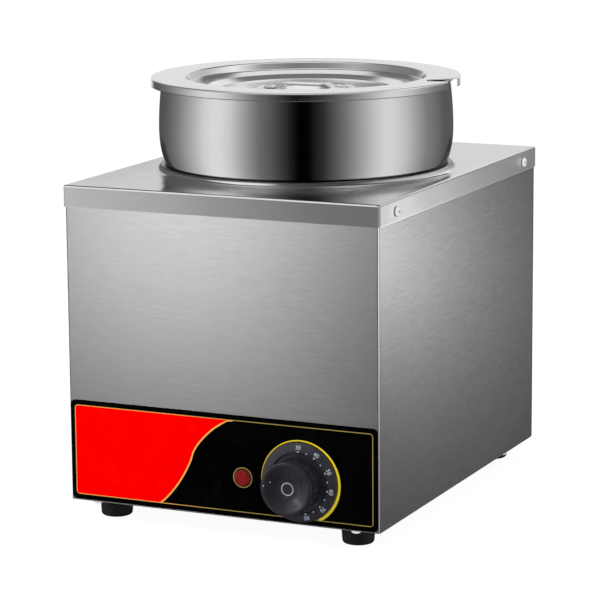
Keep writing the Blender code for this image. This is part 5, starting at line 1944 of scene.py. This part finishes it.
@dataclass
class SmallParts(Assembly):
    """Feet, screws and the cable gland, which repeat or are turned."""

    head_radius: float = 0.0037
    head_height: float = 0.0022
    shank: float = 0.0019
    shank_length: float = 0.005
    foot_top: float = 0.0125
    foot_base: float = 0.0115
    bore: float = 0.0055
    bore_depth: float = 0.0065
    clear: float = 0.0028
    gland_flange: float = 0.0105
    gland_dome: float = 0.0085
    gland_bore: float = 0.0038
    gland_reach: float = 0.0153
    gland_thread: float = 0.0075
    gland_back: float = 0.0127
    gland_ribs: int = 18

    def build(self) -> None:
        """Make the screws, the feet and the gland."""
        self.screws()
        self.feet()
        self.gland()

    def screws(self) -> None:
        """Set a pan-head screw with a cross recess for each casing screw."""
        height, radius = self.head_height, self.head_radius
        dome = (
            (0, 1), (0.35, 0.985), (0.62, 0.93), (0.80, 0.80), (0.92, 0.60), (0.985, 0.28), (1, 0),
        )
        head = self.shop.spun([(radius * out, height * up) for out, up in dome] + [
            (self.shank, 0), (self.shank, -self.shank_length), (0, -self.shank_length - 0.001),
        ], self.shop.finishes.zinc, 32)
        holder = hung("screw_head", head)
        sides = {
            "deck_screw_right_front": Facing.RIGHT, "deck_screw_right_rear": Facing.RIGHT,
            "deck_screw_left_front": Facing.LEFT, "deck_screw_left_rear": Facing.LEFT,
            "back_screw_right_lower": Facing.BACK, "back_screw_right_upper": Facing.BACK,
            "back_screw_left_lower": Facing.BACK, "back_screw_left_upper": Facing.BACK,
            "base_screw_front_right": Facing.DOWN, "base_screw_front_left": Facing.DOWN,
            "base_screw_rear_right": Facing.DOWN, "base_screw_rear_left": Facing.DOWN,
        }
        spots, ways = [], []
        for node, side in sides.items():
            way = side.turn().to_3x3() @ Vector((0, 0, 1))
            low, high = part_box(node)
            tip = (low + high) / 2
            for axis in range(3):
                if abs(way[axis]) > 0.5:
                    tip[axis] = high[axis] if way[axis] > 0 else low[axis]
            spots.append(tuple(tip - way * height))
            ways.append(tuple(way))
        mesh = self.shop.fasteners.run(points_mesh(spots, ways), self.shop.finishes.zinc, Head=holder)
        bpy.data.objects.remove(holder, do_unlink=True)
        self.shop.put("casing_screws", tidy(mesh), "cabinet", "zinc_steel", tuple(sides), sharp=28)

    def feet(self) -> None:
        """Turn the four rubber feet."""
        nodes = ("foot_front_left", "foot_front_right", "foot_rear_left", "foot_rear_right")
        parts = []
        for node in nodes:
            top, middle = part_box(node)[1].z, middle_of(node)
            profile = rounded([
                (self.clear, top, 0), (self.foot_top, top, 0.0008), (self.foot_base, 0, 0.0022),
                (self.bore, 0, 0.0006), (self.bore, self.bore_depth, 0),
                (self.clear, self.bore_depth, 0),
            ], 6)
            foot = self.shop.spun(profile, self.shop.finishes.rubber, 64, ring=True)
            foot.transform(Matrix.Translation((middle.x, middle.y, 0)))
            parts.append(foot)
        self.shop.put("rubber_feet", fused(parts), "cabinet", "rubber", nodes)

    def gland(self) -> None:
        """Turn the cable gland and set grip ribs round its dome nut."""
        flange, dome, bore = self.gland_flange, self.gland_dome, self.gland_bore
        reach, back, thread = self.gland_reach, -self.gland_back, self.gland_thread
        black = self.shop.finishes.black
        body = self.shop.spun(rounded([
            (bore, back, 0), (thread, back, 0), (thread, 0.0003, 0), (flange, 0.0003, 0),
            (flange, 0.0043, 0.0006), (dome, 0.0043, 0.0004), (dome, reach - 0.0040, 0.002),
            (dome * 0.72, reach - 0.0006, 0.0012), (dome * 0.60, reach, 0.0004),
            (bore, reach, 0.0006),
        ], 4), black, 64, ring=True)
        side = rounded_box((-0.0003, 0.0003, -0.0006, 0.0006), 0.0002, 3)
        rib = plate(side, 0.0048, reach - 0.0046, black)
        ribs = self.shop.arcs.run(
            rib, black, Count=self.gland_ribs, Radius=dome, Start=0.0,
            Pitch=tau / self.gland_ribs,
        )
        middle = middle_of("cable_gland")
        place = Facing.BACK.at(middle.x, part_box("cable_gland")[1].y - reach, middle.z)
        whole = fused([body, ribs])
        self.shop.put("gland_moulded", whole, "cabinet", "dark_plastic", ("cable_gland",), place)


class Room(Paint):
    """The light on the inside of a large sphere, as the object sees it."""

    def __init__(self, name: str, yaw: float) -> None:
        """Start the light, with the camera's side in radians."""
        super().__init__(name)
        self.yaw = yaw

    def bearing(self) -> tuple[Wire, Wire]:
        """Give where each place of the sphere lies.

        Returns:
            The signed angle from the camera's side in degrees, and the sine of the elevation.
        """
        x, y, z = self.split(self.vector_maths("NORMALIZE", self.place))
        ahead = x * sin(self.yaw) - y * cos(self.yaw)
        side = x * cos(self.yaw) + y * sin(self.yaw)
        return side.bearing(ahead) * (180 / pi), z

    def stripes(self, turn: Wire, band: Chain, tone: float) -> Wire:
        """Give the upright stripes of a band of (bearing, display level)."""
        stops = [((angle + 180) / 360, grey(linear(level) / tone)) for angle, level in band]
        return self.ramp((turn + 180.0) / 360, stops)

    def layered(self, colour: Wire, patches: tuple[tuple[Wire, float], ...]) -> Wire:
        """Lay patches of light over a colour, one after the other.

        Args:
            colour: What lies under them.
            patches: The mask and the level of each patch.

        Returns:
            The colour with its patches.
        """
        for mask, level in patches:
            colour = self.blended(mask, colour, grey(level))
        return colour

    def shine(self, light: Wire | Colour, clear: bool = True) -> None:
        """Close the tree with plain light.

        Args:
            light: The light's colour.
            clear: True where what lies behind shows through.
        """
        colour = light if isinstance(light, Wire) else (*light, 1.0)
        bright = self.made("ShaderNodeEmission", inputs={"Color": colour, "Strength": 1.0})
        if clear:
            through = self.made("ShaderNodeBsdfTransparent")
            bright = self.made("ShaderNodeAddShader", inputs={0: bright, 1: through})
        self.node("ShaderNodeOutputMaterial", inputs={"Surface": bright})


@dataclass
class Studio(Assembly):
    """Camera, lamps, floor and the soft surroundings that polished steel shows."""

    camera_spot: Place = (0.87288, -1.91438, 0.55761)
    yaw: float = 24.667
    pitch: float = 11.069
    roll: float = -0.00813
    lens: float = 168.503
    surroundings: float = 9.0
    band: Chain = (
        (-180, 71), (-150, 80), (-139, 88), (-128, 104), (-118, 122), (-106, 152), (-94, 182),
        (-86, 204), (-78, 215), (-70, 214), (-61, 200), (-53, 170), (-45, 139), (-37, 106),
        (-29, 88), (-20, 59), (-12, 27), (-7, 5), (-2, 0), (3, 8), (13, 44), (21, 79), (29, 107),
        (37, 137), (45, 164), (54, 191), (62, 208), (70, 209), (82, 189), (94, 157), (107, 123),
        (135, 85),
    )
    deck_band: Chain = (
        (-180, 76), (-153, 86), (-138, 101), (-117, 135), (-100, 174), (-87, 204), (-76, 213),
        (-68, 205), (-57, 188), (-47, 144), (-42, 114), (-30, 120), (0, 140), (60, 170),
        (100, 155), (117, 132), (138, 95), (153, 84), (180, 76),
    )
    lid_band: Chain = (
        (-180, 232), (-160, 170), (-140, 118), (-102, 125), (-75, 152), (-55, 170), (-23, 134),
        (13, 118), (50, 152), (70, 208), (83, 234), (100, 212), (120, 182), (150, 190),
        (180, 232),
    )
    lid: tuple[str, ...] = ("lid_pressed", "lid_strap", "strap_welds")
    pot_tone: float = 0.86
    lid_tone: float = 0.84
    lid_shade: float = 112
    world_light: float = 0.70
    floor_reach: float = 6.0
    floor_tone: float = 0.8
    floor_light: float = 1.08
    floor_share: float = 0.88
    aim: Place = (0.0, 0.0, 0.15)

    def build(self) -> None:
        """Set up the camera, the world, the floor, the surroundings and the lamps."""
        self.camera()
        self.world()
        self.floor()
        self.tent()
        self.lamps()

    def camera(self) -> None:
        """Place the camera at the photograph's point of view."""
        yaw, pitch = radians(self.yaw), radians(self.pitch)
        level = Vector((cos(yaw), sin(yaw), 0))
        forward = Vector((
            -sin(yaw) * cos(pitch), cos(yaw) * cos(pitch), -sin(pitch)
        ))
        over = level.cross(forward)
        right = cos(self.roll) * level + sin(self.roll) * over
        up = -sin(self.roll) * level + cos(self.roll) * over
        turn = Matrix((right, up, -forward)).transposed().to_4x4()
        data = bpy.data.cameras.new("camera")
        data.sensor_width = 36.0
        data.lens = self.lens
        data.clip_end = 50.0
        camera = hung("camera", data)
        camera.matrix_world = Matrix.Translation(self.camera_spot) @ turn
        bpy.context.scene.camera = camera

    def world(self) -> None:
        """Give an even soft light, and white where the camera looks past everything."""
        world = bpy.data.worlds.new("studio")
        bpy.context.scene.world = world
        world.use_nodes = True
        tree = Tree(world.node_tree)
        rays = tree.node("ShaderNodeLightPath")
        seen = tree.wire(rays, "Is Camera Ray") + tree.wire(rays, "Is Glossy Ray")
        seen = (seen + tree.wire(rays, "Is Transmission Ray")).least(1.0)
        soft, white = (
            tree.made("ShaderNodeBackground", inputs={"Color": (*grey(1.0), 1.0), "Strength": light})
            for light in (self.world_light, 1.0)
        )
        both = tree.made("ShaderNodeMixShader", inputs={0: seen, 1: soft, 2: white})
        tree.node("ShaderNodeOutputWorld", inputs={"Surface": both})

    def floor(self) -> None:
        """Lay a white floor that keeps the object's shadow."""
        mesh = bpy.data.meshes.new("floor")
        reach = self.floor_reach
        mesh.from_pydata(
            [(-reach, -reach, 0), (reach, -reach, 0), (reach, reach, 0), (-reach, reach, 0)],
            [], [(0, 1, 2, 3)],
        )
        floor = hung("floor", mesh)
        paint = Paint("floor_white")
        tone = (*grey(self.floor_tone), 1.0)
        matt = paint.made("ShaderNodeBsdfDiffuse", inputs={"Color": tone})
        bright = paint.made("ShaderNodeEmission", inputs={"Strength": self.floor_light})
        share = paint.made("ShaderNodeLightPath", output="Is Camera Ray") * self.floor_share
        both = paint.made("ShaderNodeMixShader", inputs={0: share, 1: matt, 2: bright})
        paint.node("ShaderNodeOutputMaterial", inputs={"Surface": both})
        mesh.materials.append(paint.material)
        floor.visible_glossy = False

    def room(self, name: str, inset: float, only: bool, *kept: str) -> Room:
        """Put a large sphere round the studio, which only reflections show.

        Args:
            name: Its name.
            inset: How much smaller it is than the outermost one.
            only: True where it lights just the kept pieces, False where it lights all others.
            kept: Those pieces' names.

        Returns:
            The tree of its light.
        """
        bm = bmesh.new()
        reach = self.surroundings - inset
        bmesh.ops.create_uvsphere(bm, u_segments=48, v_segments=24, radius=reach)
        bmesh.ops.reverse_faces(bm, faces=bm.faces)
        paint = Room(name, radians(self.yaw))
        dome = hung(name, poured(bm, name, paint.material))
        dome.visible_camera = False
        dome.visible_diffuse = False
        dome.visible_shadow = False
        dome.visible_volume_scatter = False
        group = bpy.data.collections.new(name + "_pieces")
        for piece in self.pick(*kept):
            group.objects.link(piece)
        for link in group.collection_objects:
            link.light_linking.link_state = "INCLUDE" if only else "EXCLUDE"
        dome.light_linking.receiver_collection = group
        return paint

    def tent(self) -> None:
        """Give each kind of steel the surroundings that the photograph shows in it."""
        self.around_all()
        self.around_casing()
        self.around_deck()
        self.around_lid()
        self.room("surroundings_screws", 4.0, True, "casing_screws").shine(grey(1.1))

    def around_all(self) -> None:
        """Give polished steel its soft stripes, a dark table and a faint light overhead."""
        room = self.room(
            "surroundings", 0.0, False, "casing_wrap", "deck_pan", "casing_screws", *self.lid
        )
        turn, height = room.bearing()
        table, overhead = height.spread(-0.26, -0.42) * 0.7, height.spread(0.88, 0.98) * 0.2
        stripes = room.stripes(turn, self.band, self.pot_tone)
        room.shine(room.layered(stripes, ((table, 0.0), (overhead, 0.74))), clear=False)

    def around_casing(self) -> None:
        """Give the brushed casing a dim room, with a lighter part for its folds."""
        room = self.room("surroundings_casing", 1.0, True, "casing_wrap")
        turn, _ = room.bearing()
        past_right = (131.0 - turn) * 1000.0
        nearest = abs(turn + 51.0).least(abs(turn - 131.0).least(past_right.most(0.0)))
        lit = abs(turn - 42.0).spread(34, 16, 0.0, 0.5)
        room.shine(nearest.spread(42, 74, 0.022, 0.42) + lit)

    def around_deck(self) -> None:
        """Give the satin deck its room: light low in front for the folds, dark overhead."""
        room = self.room("surroundings_deck", 2.0, True, "deck_pan")
        turn, height = room.bearing()
        raised = height.spread(0.02, 0.08)
        front = raised * height.spread(0.50, 0.36)
        behind = abs(turn).spread(160, 172) * height.spread(-0.02, 0.10)
        beside = turn.spread(132, 142) * height.spread(0.27, 0.32)
        room.shine(room.layered(room.stripes(turn, self.deck_band, 1.0), (
            (raised, 0.13),
            (abs(turn + 20.0).spread(85, 65) * front, 0.95),
            (abs(turn - 112.0).spread(58, 40) * height.spread(0.18, 0.30), 1.0),
            (behind * height.spread(0.36, 0.28), 0.74),
            (beside * height.spread(0.66, 0.58), 1.0),
            (height.spread(0.66, 0.84), 0.05),
            (abs(turn + 62.0).spread(34, 20) * raised * height.spread(0.92, 0.86), 1.0),
        )))

    def around_lid(self) -> None:
        """Give the lid its room: stripes low down, dark from halfway up."""
        room = self.room("surroundings_lid", 3.0, True, *self.lid)
        turn, height = room.bearing()
        walls = room.stripes(turn, self.lid_band, self.lid_tone)
        flange = room.stripes(turn, self.band, self.lid_tone)
        ahead = abs(turn)
        front = ahead.spread(120, 95)
        low_front = ahead.spread(60, 36) * height.spread(0.02, 0.08)
        colour = room.blended(height.spread(-0.06, 0.08), flange, walls)
        room.shine(room.layered(colour, (
            (low_front * height.spread(0.40, 0.32), 0.85),
            (ahead.spread(150, 165) * height.spread(0.30, 0.24), 0.80),
            (height.spread(0.46, 0.56) * (1.0 - front), linear(self.lid_shade) / self.lid_tone),
            (height.spread(0.76, 0.86) * front, 0.98),
        )))

    def lamps(self) -> None:
        """Hang soft lamps, two of them low ones that only rake over the brushed sides."""
        grip, *mouldings = self.pick(
            "knob_grip", "pilot_lens_prismatic", "dial_ring_turned", "rubber_feet"
        )
        casing, deck = self.pick("casing_wrap", "deck_pan")
        for name, spot, size, power, lit in (
            ("lamp_front", (-0.495, -1.07, 0.10), (0.40, 0.06), 1.19, (casing,)),
            ("lamp_side", (0.80, 0.76, 0.046), (0.24, 0.06), 0.72, (casing, deck)),
            ("lamp_mouldings", (-0.9, -1.3, 1.1), (0.3, 0.3), 3.0, (grip, *mouldings)),
            ("lamp_dish", (-1.03, -1.13, 0.20), (0.34, 0.26), 1.0, (grip,)),
            ("lamp_left", (-1.6, -1.8, 1.9), (1.5, 1.3), 24.0, ()),
            ("lamp_right", (1.9, -0.9, 1.6), (1.3, 1.1), 12.0, ()),
            ("lamp_over", (0.0, 0.3, 2.4), (1.8, 1.8), 20.0, ()),
        ):
            data = bpy.data.lights.new(name, "AREA")
            data.shape = "RECTANGLE"
            data.size, data.size_y = size
            data.energy = power
            lamp = hung(name, data)
            way = (Vector(self.aim) - Vector(spot)).to_track_quat("-Z", "Y")
            lamp.matrix_world = Matrix.Translation(spot) @ way.to_matrix().to_4x4()
            lamp.visible_glossy = bool(lit)
            if lit:
                sides = bpy.data.collections.new(name + "_sides")
                for piece in lit:
                    sides.objects.link(piece)
                lamp.light_linking.receiver_collection = sides


def dress_rest(shop: Workshop) -> None:
    """Give every CAD node that stays its finish, by the record's slots.

    Args:
        shop: The workshop, with the nodes that it has dressed.
    """
    for part in frame["record"]["subparts"]:
        node = part["node"]
        if node in shop.dressed:
            continue
        finish = shop.finishes.for_slot(part["material_slot"])
        mesh = frame["nodes"][node].data
        if not mesh.materials:
            mesh.materials.append(finish)
        for index in range(len(mesh.materials)):
            mesh.materials[index] = finish
        log.info("%s keeps its shape and gets %s", node, finish.name)


def main() -> None:
    """Build the studio and every sub-assembly in order."""
    logging.basicConfig(level=logging.INFO, format="%(name)s %(message)s")
    scene = bpy.context.scene
    scene.view_settings.view_transform = "Standard"
    shop = Workshop()
    for assembly in (Deck, Casing, Vessel, Cover, ControlPanel, SmallParts):
        assembly(shop).build()
    dress_rest(shop)
    Studio(shop).build()


if __name__ == "__main__":
    main()
